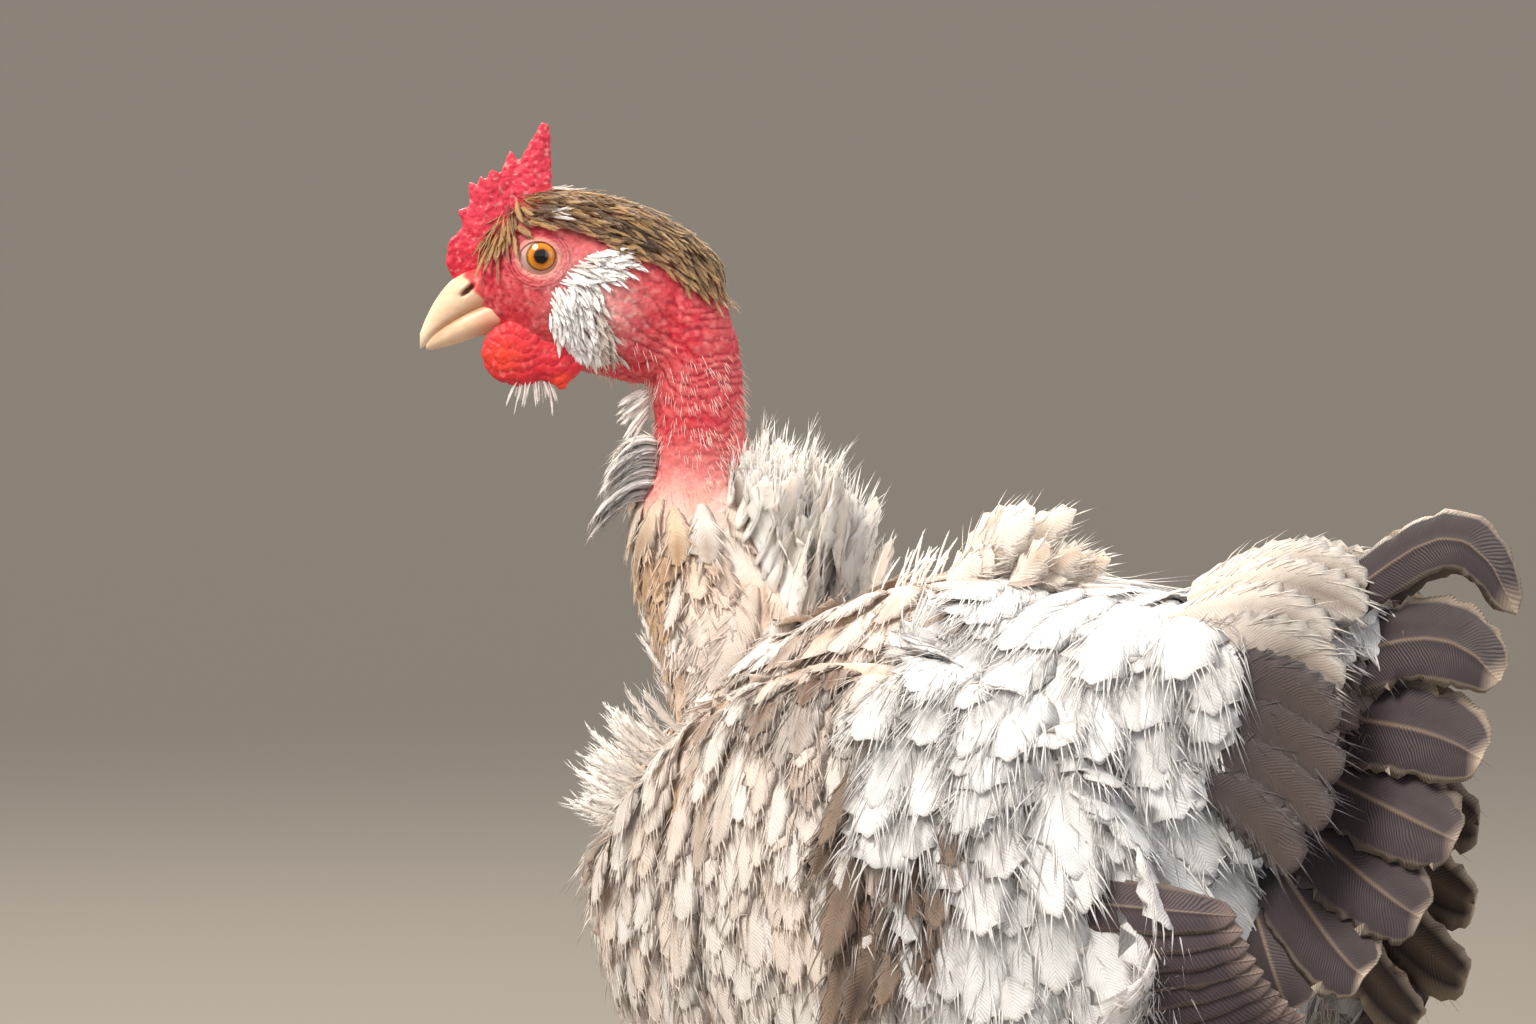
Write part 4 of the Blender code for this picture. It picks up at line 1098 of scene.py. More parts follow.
# %% [markdown]
# ## Flight and tail feathers
# The stiff feathers of the tail and the wing are smooth vanes on a strong shaft. Each is a closed tube of
# fourteen points round, carried along its spine: wide and thin, with the shaft as a ridge in the middle.
# Their edges are worn, so each has a few splits. They are charcoal with a beige rim, which shows each from
# the next.

# %% Vanes with a shaft
QUILL_ROUND = (
    (1.0, 0.0), (0.82, 0.5), (0.55, 0.8), (0.28, 1.0), (0.07, 1.0), (0.0, 2.6), (-0.07, 1.0), (-0.28, 1.0),
    (-0.55, 0.8), (-0.82, 0.5), (-1.0, 0.0), (-0.5, -0.8), (0.0, -1.8), (0.5, -0.8),
)
QUILL_ROWS = 34


def quill_outline(shares, tip=0.16):
    """Half width of a flight feather as a share of its widest: slim at the root, round at the tip."""
    body = 0.3 + 0.7 * smoothstep(0.0, 0.45, shares)
    end = np.clip((1 - shares) / tip, 0, 1)
    return body * np.sqrt(np.clip(1 - (1 - end) ** 2, 0.004, 1))


def quill_feathers(points, outs, widths, lean=0.0, cup=0.1, thick=0.00016, splits=5, worn=0.05, tip=0.16,
                   seed=5):
    """Arrays for stiff feathers; lean tips one edge out so that each laps over the next."""
    draw = np.random.default_rng(seed)
    count = len(points)
    shares = np.tile(np.linspace(0, 1, QUILL_ROWS) ** 0.92, (count, 1))
    along, side, up = frames(points, outs)
    up = up * math.cos(lean) - side * math.sin(lean)
    side = np.cross(along, up)
    root, along, side, up = (sample(array, shares) for array in (points, along, side, up))
    length = np.linalg.norm(np.diff(points, axis=1), axis=2).sum(1)[:, None]
    half = widths[:, None] * quill_outline(shares, tip)
    loops, places, line = [], [], []
    for place, height in QUILL_ROUND:
        notch = np.ones(shares.shape)
        slip = np.zeros(shares.shape)
        if abs(place) > 0.5:
            for _ in range(splits):
                at = draw.uniform(0.35, 0.99, (count, 1))
                deep = draw.uniform(0.3, 1.0, (count, 1))
                near = np.clip(1 - np.abs(shares - at) / 0.022, 0, 1)
                notch = notch - near * deep * 0.16 * (abs(place) - 0.5) * 2
            notch = notch + draw.normal(0, worn, shares.shape) * (abs(place) == 1)
            slip = draw.normal(0, worn * 0.25, shares.shape) * (abs(place) == 1)
        reach = half * place * notch
        rise = thick * height - cup * widths[:, None] * place * place * quill_outline(shares, tip)
        push = 0.45 * np.abs(half * place) * smoothstep(0.55, 1.0, shares) + slip * widths[:, None]
        loops.append(root + side * reach[..., None] + along * push[..., None] + up * rise[..., None])
        places.append(np.full(shares.shape, place))
        line.append(shares * length + push - 0.8 * np.abs(reach))
    loops = np.stack(loops, 2)
    around = len(QUILL_ROUND)
    return (loops.reshape(-1, 3), closed_tubes(loops), np.repeat(np.arange(count), QUILL_ROWS * around),
            np.repeat(shares.ravel(), around), np.stack(places, 2).ravel(), np.stack(line, 2).ravel())


def quill_paint(owner, share, place, seed, dark, rim, shaft, rim_share=1.0):
    """Charcoal vanes, paler at the worn rim and the tip, with a horn coloured shaft."""
    draw = np.random.default_rng(seed)
    count = owner.max() + 1
    tone = 1 + draw.normal(0, 0.1, count)[owner]
    colour = np.tile(dark, (len(owner), 1)) * tone[:, None]
    edge = smoothstep(0.84, 1.0, np.abs(place)) * smoothstep(0.3, 0.75, share)
    end = smoothstep(0.955, 1.0, share)
    strength = draw.uniform(0.45, 1.0, count)[owner] * rim_share
    colour = blend(colour, rim, np.maximum(edge, end) * strength)
    colour = blend(colour, shaft, (np.abs(place) < 0.03) * 0.8 * (1 - 0.5 * share))
    downy = smoothstep(0.3, 0.05, share) * 0.5
    return np.clip(blend(colour, rim, downy), 0, 1)


def quill_piece(name, points, outs, widths, slot, stands_for=(), seed=5, dark="40373A", rim="D9C6B0",
                shaft="9A8570", rim_share=1.0, **shape):
    made, triangles, owner, share, place, line = quill_feathers(points, outs, widths, seed=seed, **shape)
    paint = quill_paint(owner, share, place, seed + 1, linear(dark), linear(rim), linear(shaft), rim_share)
    patch = np.c_[share, 0.5 + place * 0.5]
    mesh = mesh_from_arrays(name, made, triangles, paint, line, points[owner, 0], patch)
    return add_piece(name, mesh, QUILL, slot, *stands_for, smooth=True)


QUILL = feather_material("quill_keratin", roughness=0.5, sheen=0.06, glow=0.0, barb_gap=0.001, groove_shade=0.1)

# %% The tail
TAIL_ROOT_TOP = Vector((0.098, 0.007, 0.279))
TAIL_ROOT_LOW = Vector((0.096, 0.0085, 0.225))
# Tip, height of the bow and half width of each feather, from the top one down
TAIL_LEFT = (
    ((0.179, 0.0045, 0.2855), 0.019, 0.0078), ((0.175, 0.0062, 0.269), 0.009, 0.011),
    ((0.1715, 0.0085, 0.25), 0.003, 0.012), ((0.1665, 0.012, 0.23), 0.0, 0.0122),
    ((0.159, 0.016, 0.211), -0.001, 0.0122), ((0.145, 0.02, 0.196), -0.002, 0.0118),
    ((0.126, 0.0235, 0.186), -0.003, 0.011),
)
TAIL_RIGHT = (
    ((0.169, 0.0045, 0.285), 0.017, 0.0078), ((0.164, 0.0064, 0.269), 0.008, 0.011),
    ((0.16, 0.0088, 0.251), 0.003, 0.012), ((0.156, 0.012, 0.231), 0.0, 0.0122),
    ((0.152, 0.0158, 0.211), -0.001, 0.0122), ((0.147, 0.0196, 0.192), -0.002, 0.0118),
    ((0.13, 0.0228, 0.18), -0.003, 0.011),
)
TAIL_LEAN = 0.3


def bowed(root, tip, bow, steps=12):
    """A spine from root to tip that rises in a bow towards its tip."""
    shares = [k / (steps - 1) for k in range(steps)]
    return [root.lerp(tip, t) + UP * bow * 9.5 * t ** 3 * (1 - t) for t in shares]


for name, side, rows in (("left", -1, TAIL_LEFT), ("right", 1, TAIL_RIGHT)):
    lines = []
    for i, (tip, bow, half) in enumerate(rows):
        root = TAIL_ROOT_TOP.lerp(TAIL_ROOT_LOW, i / (len(rows) - 1))
        line = bowed(root, Vector(tip), bow)
        lines.append([on_body(p.x, side * p.y, p.z) for p in line])
    points = np.array(lines)
    outs = np.tile((0.0, side, 0.0), points.shape[:2] + (1,))
    quill_piece("tail_feathers_" + name, points, outs, np.array([row[2] for row in rows]), "tail_feather",
                ("tail_" + name,), seed=40 + side, lean=-side * TAIL_LEAN, cup=0.12, tip=0.3)

# %% [markdown]
# ## Colours of the bare skin
# A naked neck's face is crimson and granular. The neck is a little darker above and fades to pink at its
# foot, where the first down grows. Creases hold more blood and less light than ridges, so the paint uses how
# hollow the mesh is at each point: the way from a point to the middle of its neighbours, measured along its
# normal.

# %% Skin paint
CRIMSON, DEEP, ROSE = linear("CE2F40"), linear("96152A"), linear("EE8F8E")
LID_PINK, CHALK, BARE_PINK = linear("E9A79C"), linear("F6D9D2"), linear("E8A9A2")


def hollows(mesh):
    """How far each point lies below the middle of its neighbours, in metres."""
    points, normals = coordinates(mesh), coordinates(mesh, "normal")
    edges = np.empty(len(mesh.edges) * 2, np.int32)
    mesh.edges.foreach_get("vertices", edges)
    a, b = edges.reshape(-1, 2).T
    total = np.zeros_like(points)
    number = np.zeros(len(points))
    for one, other in ((a, b), (b, a)):
        for axis in range(3):
            total[:, axis] += np.bincount(one, points[other, axis], len(points))
        number += np.bincount(one, minlength=len(points))
    return ((total / np.maximum(number, 1)[:, None] - points) * normals).sum(1)


def face_paint(mesh, points):
    """Crimson of the face and neck, with pale grains, dark creases and the pink foot of the neck."""
    f, l, u = head_coordinates(points)
    hollow = hollows(mesh)
    grain = smoothstep(0.56, 0.74, cloud(points, 620, 21))
    colour = blend(CRIMSON, ROSE, grain * 0.42)
    broad = smoothstep(0.4, 0.65, cloud(points, 110, 22))
    colour = blend(colour, ROSE, broad * 0.22)
    colour = blend(colour, DEEP, smoothstep(0.00001, 0.00007, hollow) * 0.75)
    colour = blend(colour, ROSE, smoothstep(0.00001, 0.00008, -hollow) * 0.28)
    foot = smoothstep(-0.04, -0.07, u)
    colour = blend(colour, BARE_PINK, foot * 0.8)
    veins = smoothstep(0.6, 0.72, cloud(points * (1, 1, 0.35), 330, 23))
    colour = blend(colour, CRIMSON, foot * veins * 0.5)
    lobe = np.exp(-(((f - LOBE[0]) / 0.007) ** 2 + ((u - LOBE[1]) / 0.009) ** 2))
    specks = smoothstep(0.6, 0.72, cloud(points, 760, 24))
    colour = blend(colour, CHALK, lobe * specks * 0.55)
    away = np.sqrt(((f - LID_MIDDLE[0]) / LID_HALF[0]) ** 2 + ((u - LID_MIDDLE[1]) / LID_HALF[1]) ** 2)
    colour = blend(colour, LID_PINK, smoothstep(1.42, 1.05, away) * 0.8 * (np.abs(l) > 0.004))
    ear = np.exp(-(((f + 0.013) / 0.01) ** 2 + ((u + 0.011) / 0.011) ** 2)) * (np.abs(l) > 0.004)
    colour = blend(colour, CHALK, ear * 0.5)
    under_cap = smoothstep(0.006, 0.01, u + 0.32 * np.maximum(-f - 0.004, 0)) * smoothstep(0.013, 0.009, f)
    return blend(colour, linear("8A5B3C"), under_cap * 0.8)


def skin_paint(mesh):
    """Bare colours on the head and neck, and under the feathers the coat's markings, a little darker as painted
    shade.
    """
    points = coordinates(mesh)
    local = points - np.array(FLOOR_POINT)
    # The coat's markings darkened a little towards brown: painted shade for the gaps between feathers.
    shaded_coat = blend(markings(points)[0], BROWN, 0.12)
    raised = local[:, 2] + 0.6 * np.maximum(-0.08 - local[:, 0], 0)
    bare_share = smoothstep(0.292, 0.312, raised) * (local[:, 0] < -0.04)
    bare = np.where(bare_share > 0)[0]
    colour = shaded_coat.copy()
    colour[bare] = blend(shaded_coat[bare], face_paint(mesh, points)[bare], bare_share[bare])
    return colour


def comb_paint(mesh):
    points = coordinates(mesh)
    _, _, u = head_coordinates(points)
    specks = smoothstep(0.62, 0.76, cloud(points, 900, 25))
    colour = blend(linear("DE3E55"), CHALK, specks * 0.28)
    # Deeper red in the hollows of the comb: partly more blood, partly painted shade in the hollows.
    colour = blend(colour, linear("B8122A"), smoothstep(0.00001, 0.00006, hollows(mesh)) * 0.7)
    low = smoothstep(0.008, -0.006, u)
    return blend(colour, linear("C9142B"), low * 0.6 * (1 - specks))


def wattle_paint(mesh):
    points = coordinates(mesh)
    f, _, u = head_coordinates(points)
    bulge = np.exp(-(((f - 0.0105) / 0.006) ** 2 + ((u + 0.026) / 0.005) ** 2))
    nub = smoothstep(0.0035, 0.0015, np.sqrt((f + 0.005) ** 2 + (u + 0.0325) ** 2))
    colour = np.tile(linear("D9303F"), (len(points), 1))
    colour = blend(colour, linear("EE4A32"), np.clip(bulge + nub, 0, 1) * 0.85)
    # Darker in the creases between the folds: partly more blood, partly painted shade in the creases.
    colour = blend(colour, DEEP, smoothstep(0.00001, 0.00006, hollows(mesh)) * 0.6)
    return blend(colour, ROSE, smoothstep(0.62, 0.76, cloud(points, 800, 26)) * 0.35)


# %% Skin material
def flesh_material(name, roughness, grain, depth):
    """Living skin: painted colour, some light under the surface and a fine grain."""
    material, tree, shader = new_material(
        name, Roughness=roughness, IOR=1.42, Subsurface_Weight=0.18, Subsurface_Scale=0.0022,
        Specular_IOR_Level=0.42,
    )
    shader.inputs["Subsurface Radius"].default_value = (1.0, 0.35, 0.25)
    paint = add_node(tree, "ShaderNodeAttribute", {"attribute_name": "paint"}).outputs["Color"]
    where = add_node(tree, "ShaderNodeTexCoord").outputs["Object"]
    cells = add_node(tree, "ShaderNodeTexVoronoi", Vector=where, Scale=grain).outputs["Distance"]
    grain_noise = add_node(tree, "ShaderNodeTexNoise", Vector=where, Scale=grain * 2.3, Detail=3.0).outputs["Fac"]
    height = add_node(tree, "ShaderNodeMath", {"operation": "ADD"}, _0=cells, _1=grain_noise)
    # One noise both raises the bump and sets the colour's level, so the grain is painted lighter where it stands up
    # and darker where it sinks: painted light and shade over the skin's own mottle.
    level = add_node(tree, "ShaderNodeMapRange", Value=grain_noise, To_Min=0.82, To_Max=1.16)
    tone = add_node(tree, "ShaderNodeVectorMath", {"operation": "SCALE"}, _0=paint,
                    Scale=level.outputs["Result"])
    tree.links.new(tone.outputs["Vector"], shader.inputs["Base Color"])
    bump = add_node(tree, "ShaderNodeBump", Height=height.outputs[0], Strength=0.55, Distance=depth)
    tree.links.new(bump.outputs["Normal"], shader.inputs["Normal"])
    return material


BARE_SKIN = flesh_material("bare_skin", 0.48, 900, 0.00025)
painted(body_mesh, skin_paint(body_mesh))
painted(comb_mesh, comb_paint(comb_mesh))
painted(wattle_mesh, wattle_paint(wattle_mesh))
lid_meshes = []
for side in (1, -1):
    lid = plain_mesh("lids", *lid_patch(side))
    lid_meshes.append(painted(lid, face_paint(lid, coordinates(lid))))
skin_mesh = joined("skin", (body_mesh, comb_mesh, wattle_mesh, *lid_meshes))
add_piece("skin", skin_mesh, BARE_SKIN, "bare_skin", "head", "neck", "comb", "wattle_left", "wattle_right",
          "torso", "crop", "thigh_left", "thigh_right", smooth=True)

# %% [markdown]
# ## Eyes
# The eye is a ball with a wide orange iris and a round pupil. Its faces run in rings round the middle of the
# iris, so the distance from that middle can be kept on each point and turned into colours by one ramp. The
# cornea stands out a little over the iris and is wet.

# %% Eyes
EYE_RINGS = (0.0006, 0.0012, 0.0016, 0.0018, 0.0022, 0.0027, 0.0032, 0.0035, 0.0037, 0.0042, 0.0049, 0.0056)
CORNEA_RISE = 0.0003
CORNEA_REACH = 0.004
EYE_AROUND = 64


def eye_form(side):
    """Points, faces and the distance of each point from the middle of the iris."""
    points, faces, away = [BETWEEN_EYES + LEFT * side * (EYE_SIDE + EYE_RADIUS + CORNEA_RISE)], [], [0.0]
    rings = [(r, math.sqrt(EYE_RADIUS ** 2 - r * r) + CORNEA_RISE * max(0, 1 - (r / CORNEA_REACH) ** 2))
             for r in EYE_RINGS]
    rings += [(EYE_RADIUS * math.cos(t), -EYE_RADIUS * math.sin(t)) for t in (-0.25, 0.1, 0.5, 0.9, 1.25)]
    for r, out in rings:
        for i in range(EYE_AROUND):
            turn = 2 * math.pi * i / EYE_AROUND
            points.append(on_head(r * math.cos(turn), side * (EYE_SIDE + out), r * math.sin(turn)))
            away.append(r if out > 0 else 0.006)
    points.append(BETWEEN_EYES + LEFT * side * (EYE_SIDE - EYE_RADIUS))
    away.append(0.006)
    last = len(points) - 1
    for i in range(EYE_AROUND):
        j = (i + 1) % EYE_AROUND
        faces.append((0, 1 + i, 1 + j))
        for k in range(len(rings) - 1):
            a, b = 1 + k * EYE_AROUND, 1 + (k + 1) * EYE_AROUND
            faces.append((a + i, b + i, b + j, a + j))
        a = 1 + (len(rings) - 1) * EYE_AROUND
        faces.append((a + i, last, a + j))
    return points, faces if side > 0 else [face[::-1] for face in faces], away


EYE_MATERIAL, tree, shader = new_material("wet_eye", Roughness=0.05, IOR=1.38, Coat_Weight=0.6,
                                          Coat_Roughness=0.03, Specular_IOR_Level=0.55)
away = add_node(tree, "ShaderNodeAttribute", {"attribute_name": "from_pupil"}).outputs["Fac"]
where = add_node(tree, "ShaderNodeTexCoord").outputs["Object"]
fleck = add_node(tree, "ShaderNodeTexNoise", Vector=where, Scale=1400.0, Detail=3.0).outputs["Fac"]
shifted = add_node(tree, "ShaderNodeMapRange", Value=fleck, To_Min=-0.00022, To_Max=0.00022)
distance = add_node(tree, "ShaderNodeMath", {"operation": "ADD"}, _0=away, _1=shifted.outputs["Result"])
share = add_node(tree, "ShaderNodeMapRange", Value=distance.outputs[0], From_Max=0.006)
ramp = add_node(tree, "ShaderNodeValToRGB", Fac=share.outputs["Result"])
stops = ((0.0, "0B0807"), (0.265, "0B0807"), (0.3, "3A1A08"), (0.34, "B9690F"), (0.45, "E08C1E"),
         (0.54, "DB8A22"), (0.585, "8A5A20"), (0.62, "6E4A2C"), (0.66, "C9A08E"), (1.0, "E9CFC6"))
ramp.color_ramp.elements[0].position, ramp.color_ramp.elements[-1].position = stops[0][0], stops[-1][0]
for position, _ in stops[1:-1]:
    ramp.color_ramp.elements.new(position)
for element, (_, hex_colour) in zip(ramp.color_ramp.elements, stops):
    element.color = (*linear(hex_colour), 1)
tree.links.new(ramp.outputs["Color"], shader.inputs["Base Color"])
for name, side in (("left", 1), ("right", -1)):
    points, faces, away = eye_form(side)
    mesh = plain_mesh("eye_" + name, points, faces)
    mesh.attributes.new("from_pupil", "FLOAT", "POINT").data.foreach_set("value", away)
    add_piece("eyeball_" + name, mesh, EYE_MATERIAL, "eye", "eye_" + name, smooth=True)

# %% [markdown]
# ## Bill
# The bill is horn: cream at the tip and the ridge, a little darker along the mouth line and pinker at its
# base. Both halves are fine lofts. The nostril is a slanted slit under a small roof, and is pushed into the
# upper half.

# %% Bill
BILL_TOP_ROWS = (
    (0.008, 0.006, -0.0046, -0.0134), (0.015, 0.0062, -0.0034, -0.0146), (0.02, 0.0058, -0.0046, -0.0168),
    (0.024, 0.0048, -0.0074, -0.0192), (0.0275, 0.0035, -0.0118, -0.0216), (0.03, 0.0023, -0.0165, -0.0236),
    (0.0316, 0.001, -0.0205, -0.0246),
)
BILL_LOW_ROWS = (
    (0.006, 0.0058, -0.0105, -0.0188), (0.013, 0.0059, -0.0112, -0.0204), (0.019, 0.0053, -0.0136, -0.0222),
    (0.024, 0.004, -0.0166, -0.0238), (0.028, 0.0026, -0.02, -0.0247), (0.03, 0.0012, -0.0226, -0.0249),
)
NOSTRIL = (0.0192, -0.0092)
NOSTRIL_TILT = math.radians(40)
HORN_CREAM, HORN_TAN, HORN_PINK = linear("F3D3B2"), linear("B98A5C"), linear("E3A586")


def bill_half(name, rows, upper):
    """One half of the bill, rubbed smooth, with its nostrils and its colours."""
    made = smooth_rows(rows, 10)
    points, faces = loft([head_section(*row) for row in made], 72)
    mesh = plain_mesh(name, points, faces)
    places = coordinates(mesh)
    f, l, u = head_coordinates(places)
    if upper:
        along = (f - NOSTRIL[0]) * -math.cos(NOSTRIL_TILT) + (u - NOSTRIL[1]) * math.sin(NOSTRIL_TILT)
        over = (f - NOSTRIL[0]) * math.sin(NOSTRIL_TILT) + (u - NOSTRIL[1]) * math.cos(NOSTRIL_TILT)
        pit = smoothstep(1.2, 0.5, np.sqrt((along / 0.0024) ** 2 + (over / 0.0008) ** 2))
        roof = smoothstep(1.0, 0.2, np.sqrt((along / 0.0038) ** 2 + ((over - 0.0016) / 0.0014) ** 2))
        places -= np.array(LEFT) * (np.sign(l) * (pit * 0.0022 - roof * 0.0007))[:, None]
    else:
        pit = np.zeros(len(places))
    move_points(mesh, places)
    stations = [row[0] for row in made]
    edge = np.interp(f, stations, [row[3] if upper else row[2] for row in made])
    mouth = edge + (0.0018 if upper else -0.0018)
    near_mouth = smoothstep(0.0016, 0.0003, np.abs(u - mouth))
    streaks = smoothstep(0.5, 0.7, cloud(places * (1, 1, 2.5), 420, 27))
    colour = np.tile(HORN_CREAM, (len(places), 1))
    colour = blend(colour, HORN_TAN, near_mouth * 0.55 + streaks * 0.12)
    colour = blend(colour, HORN_PINK, smoothstep(0.021, 0.013, f) * 0.7)
    skin_edge = np.interp(u, (-0.02, -0.014, -0.01, -0.005), (0.0105, 0.011, 0.0172, 0.0205))
    skin_edge = skin_edge + 0.0015 * (cloud(places, 500, 28) - 0.5)
    colour = blend(colour, CRIMSON, smoothstep(0.0006, -0.0008, f - skin_edge) * 0.92)
    colour = blend(colour, linear("FBEBD2"), smoothstep(0.026, 0.031, f) * 0.5)
    # The nostril's pit painted dark: painted shade inside the opening.
    colour = blend(colour, linear("5A2A1E"), pit * 0.9)
    return painted(mesh, colour)


BILL, tree, shader = new_material("bill_keratin", Roughness=0.34, IOR=1.54, Subsurface_Weight=0.12,
                                  Subsurface_Scale=0.0015)
paint = add_node(tree, "ShaderNodeAttribute", {"attribute_name": "paint"}).outputs["Color"]
tree.links.new(paint, shader.inputs["Base Color"])
where = add_node(tree, "ShaderNodeTexCoord").outputs["Object"]
fibre = add_node(tree, "ShaderNodeTexNoise", Vector=where, Scale=900.0, Detail=3.0).outputs["Fac"]
bump = add_node(tree, "ShaderNodeBump", Height=fibre, Strength=0.25, Distance=0.0002)
tree.links.new(bump.outputs["Normal"], shader.inputs["Normal"])
for name, rows in (("bill_upper", BILL_TOP_ROWS), ("bill_lower", BILL_LOW_ROWS)):
    half = bill_half(name, rows, name == "bill_upper")
    add_piece(name + "_horn", half, BILL, "bill_horn", name, smooth=True)

# %% [markdown]
# ## Tufts that stand up
# Some feathers leave the body: the cape behind the neck, a tuft on the neck's front, small plumes on the
# back and wisps under the wattle. Each follows a bent line from its root instead of lying along the skin.

# %% Bent spines
def bent(roots, ways, lengths, bends, outs, steps=7):
    """Spines that leave each root in its own direction and bend on the way."""
    roots, ways, bends, outs = (np.atleast_2d(np.asarray(a, float)) for a in (roots, ways, bends, outs))
    ways = ways / np.linalg.norm(ways, axis=1, keepdims=True)
    outs = outs / np.linalg.norm(outs, axis=1, keepdims=True)
    t = np.linspace(0, 1, steps)[None, :, None]
    reach = np.asarray(lengths, float)[:, None, None]
    points = roots[:, None] + ways[:, None] * reach * t + bends[:, None] * reach * t ** 2
    return points, np.broadcast_to(outs[:, None], points.shape).copy()


def one_colour(base, tip, streak="7A6050", strength=0.0):
    """Paint of feathers that all have the same colours, with a little change from one to the next."""
    def paints(places):
        count = len(places)
        share = cloud(places, 260, 31)
        return (blend(linear(base), linear(tip), share * 0.4),
                np.tile(linear(tip), (count, 1)), np.tile(linear(streak), (count, 1)),
                np.full(count, strength) * smoothstep(0.4, 0.6, share))
    return paints


# %% Crop, cape and neck tuft
def crop_paints(places):
    """Buff with brown strokes on the front and low on the side, white in the middle and at the top."""
    x, _, z = body_coordinates(places)
    count = len(places)
    base = blend(linear("E2B78C"), CREAM, smoothstep(0.5, 0.7, cloud(places, 120, 32)))
    middle = np.clip(1.25 - np.sqrt(((x + 0.046) / 0.022) ** 2 + ((z - 0.272) / 0.03) ** 2), 0, 1)
    base = blend(base, linear("F5E6DF"), middle * 1.0)
    base = blend(base, linear("F2E9E3"), smoothstep(0.288, 0.3, z))
    strokes = smoothstep(0.46, 0.6, cloud(places, 240, 33)) * (1 - middle) * smoothstep(0.3, 0.29, z)
    return base, blend(base, CREAM, 0.35), np.tile(linear("8E6A48"), (count, 1)), strokes * 0.85


roots = scatter(crop_region, 0.005, 41)
coat("crop_feathers", roots, (0.0165, 0.15, 42), (0.0038, 0.15, 43),
     (0.0002, 0.0026, 44), "crop_feather", (), crop_paints, 45, down_flow,
     spread=0.22, strands=6, blade=0.0003, fringe=0.6)


def cape_region(local, normals):
    x, y, z = local.T
    behind = (x > -0.068) & (x < -0.016) & (y > -0.012 + 0.1 * (x + 0.068)) & (y < 0.03)
    open_to_back = (normals[:, 0] > 0.0) & ((normals[:, 0] > 0.35) | (normals[:, 2] > 0.35))
    return behind & (z > 0.256) & (z < 0.304) & open_to_back


CAPE_TOP = (
    (-0.075, -0.069, -0.0604, -0.0504, -0.0371, -0.0238, -0.01),
    (0.312, 0.3212, 0.3218, 0.319, 0.312, 0.299, 0.29),
)
roots = scatter(cape_region, 0.0038, 51)
local = roots - np.array(FLOOR_POINT)
draw = np.random.default_rng(52)
top = np.interp(local[:, 0] - 0.002, *CAPE_TOP) - np.abs(local[:, 1] - 0.004) * 0.7
lengths = np.clip((top - local[:, 2]) * draw.uniform(0.7, 1.02, len(roots)), 0.01, 0.05)
ways = np.c_[(-0.05 - local[:, 0]) * 7 + draw.normal(0, 0.1, len(roots)),
             -local[:, 1] * 9 + draw.normal(0, 0.12, len(roots)), np.ones(len(roots))]
outs = np.c_[local[:, 0] + 0.056, local[:, 1] * 1.6 - 0.004, np.full(len(roots), 0.1)]
bends = np.c_[draw.normal(0.1, 0.08, len(roots)), np.sign(local[:, 1]) * 0.08, np.full(len(roots), -0.05)]
feather_piece("cape_feathers", *bent(roots, ways, lengths, bends, outs), uneven(len(roots), 0.0046, 0.2, 53),
              "white_feather", ("cape",), one_colour("FAF0E6", "FDFAF6", "E6CDB2", 0.5), 54, strands=12,
              blade=0.00018, fringe=0.35, angles=(30, 4), loft=0.05, ragged=0.12, material=DOWN)

count = 150
draw = np.random.default_rng(61)
fan = draw.uniform(-1, 1, count)
high = draw.uniform(0, 1, count)
roots = np.array([
    on_skin(-0.086 + 0.003 * a, -0.01 + 0.01 * a, 0.302 + 0.014 * b) for a, b in zip(fan, high)
])
ways = np.c_[-0.75 - 0.1 * high, fan * 0.55 - 0.25, 0.1 + 0.4 * high]
bends = np.c_[0.12 * np.ones(count), np.zeros(count), -0.75 * np.ones(count)]
outs = np.c_[-0.6 * np.ones(count), fan * 0.3 - 0.3, 0.7 * np.ones(count)]


def neck_tuft_paints(places):
    """White above, and striped grey brown where the tuft hangs down in front."""
    x, _, z = body_coordinates(places)
    count = len(places)
    low = smoothstep(0.307, 0.298, z) * smoothstep(-0.09, -0.098, x)
    base = blend(linear("F4EFEA"), linear("8B7768"), low * 0.7)
    return base, blend(base, linear("4A3D36"), low * 0.8), np.tile(linear("4A3D36"), (count, 1)), low * 0.8


feather_piece("neck_tuft_feathers", *bent(roots, ways, uneven(count, 0.0135, 0.2, 62), bends, outs),
              uneven(count, 0.003, 0.2, 63), "pale_feather", ("neck_tuft",), neck_tuft_paints, 64, strands=9,
              blade=0.00014, fringe=0.3, ragged=0.12, material=DOWN)

# %% [markdown]
# ## Saddle
# The white feathers over the hip are the longest and softest of the coat. They hang down and back in layers,
# and the last ones end in ragged locks over the dark quills of the wing. A strip of dark feathers lies
# between the shoulder and the saddle, partly their own colour and partly painted shadow under the saddle's
# edge.

# %% Saddle, dark strip and the quills of the wing
def saddle_region(local, normals):
    x, y, z = local.T
    lowest = np.interp(x, (0.02, 0.04, 0.055, 0.098), (0.254, 0.238, 0.208, 0.206))
    return (x > 0.022) & (x < 0.098) & (z > lowest) & (np.abs(y) > 0.004)


def saddle_flow(place, normal):
    """Down the hip, a little forward in front and back behind."""
    x, y, _ = place - FLOOR_POINT
    side = 1 if y > 0 else -1
    lean = float(np.interp(x, (0.03, 0.06, 0.09, 0.115), (0.02, 0.16, 0.42, 0.9)))
    return along_skin(Vector((lean, side * 0.9 * max(normal.z, 0), -1.0)), normal)


def dark_region(local, normals):
    x, y, z = local.T
    return (x > 0.018) & (x < 0.048) & (z > 0.206) & (z < 0.247) & (np.abs(y) > 0.034)


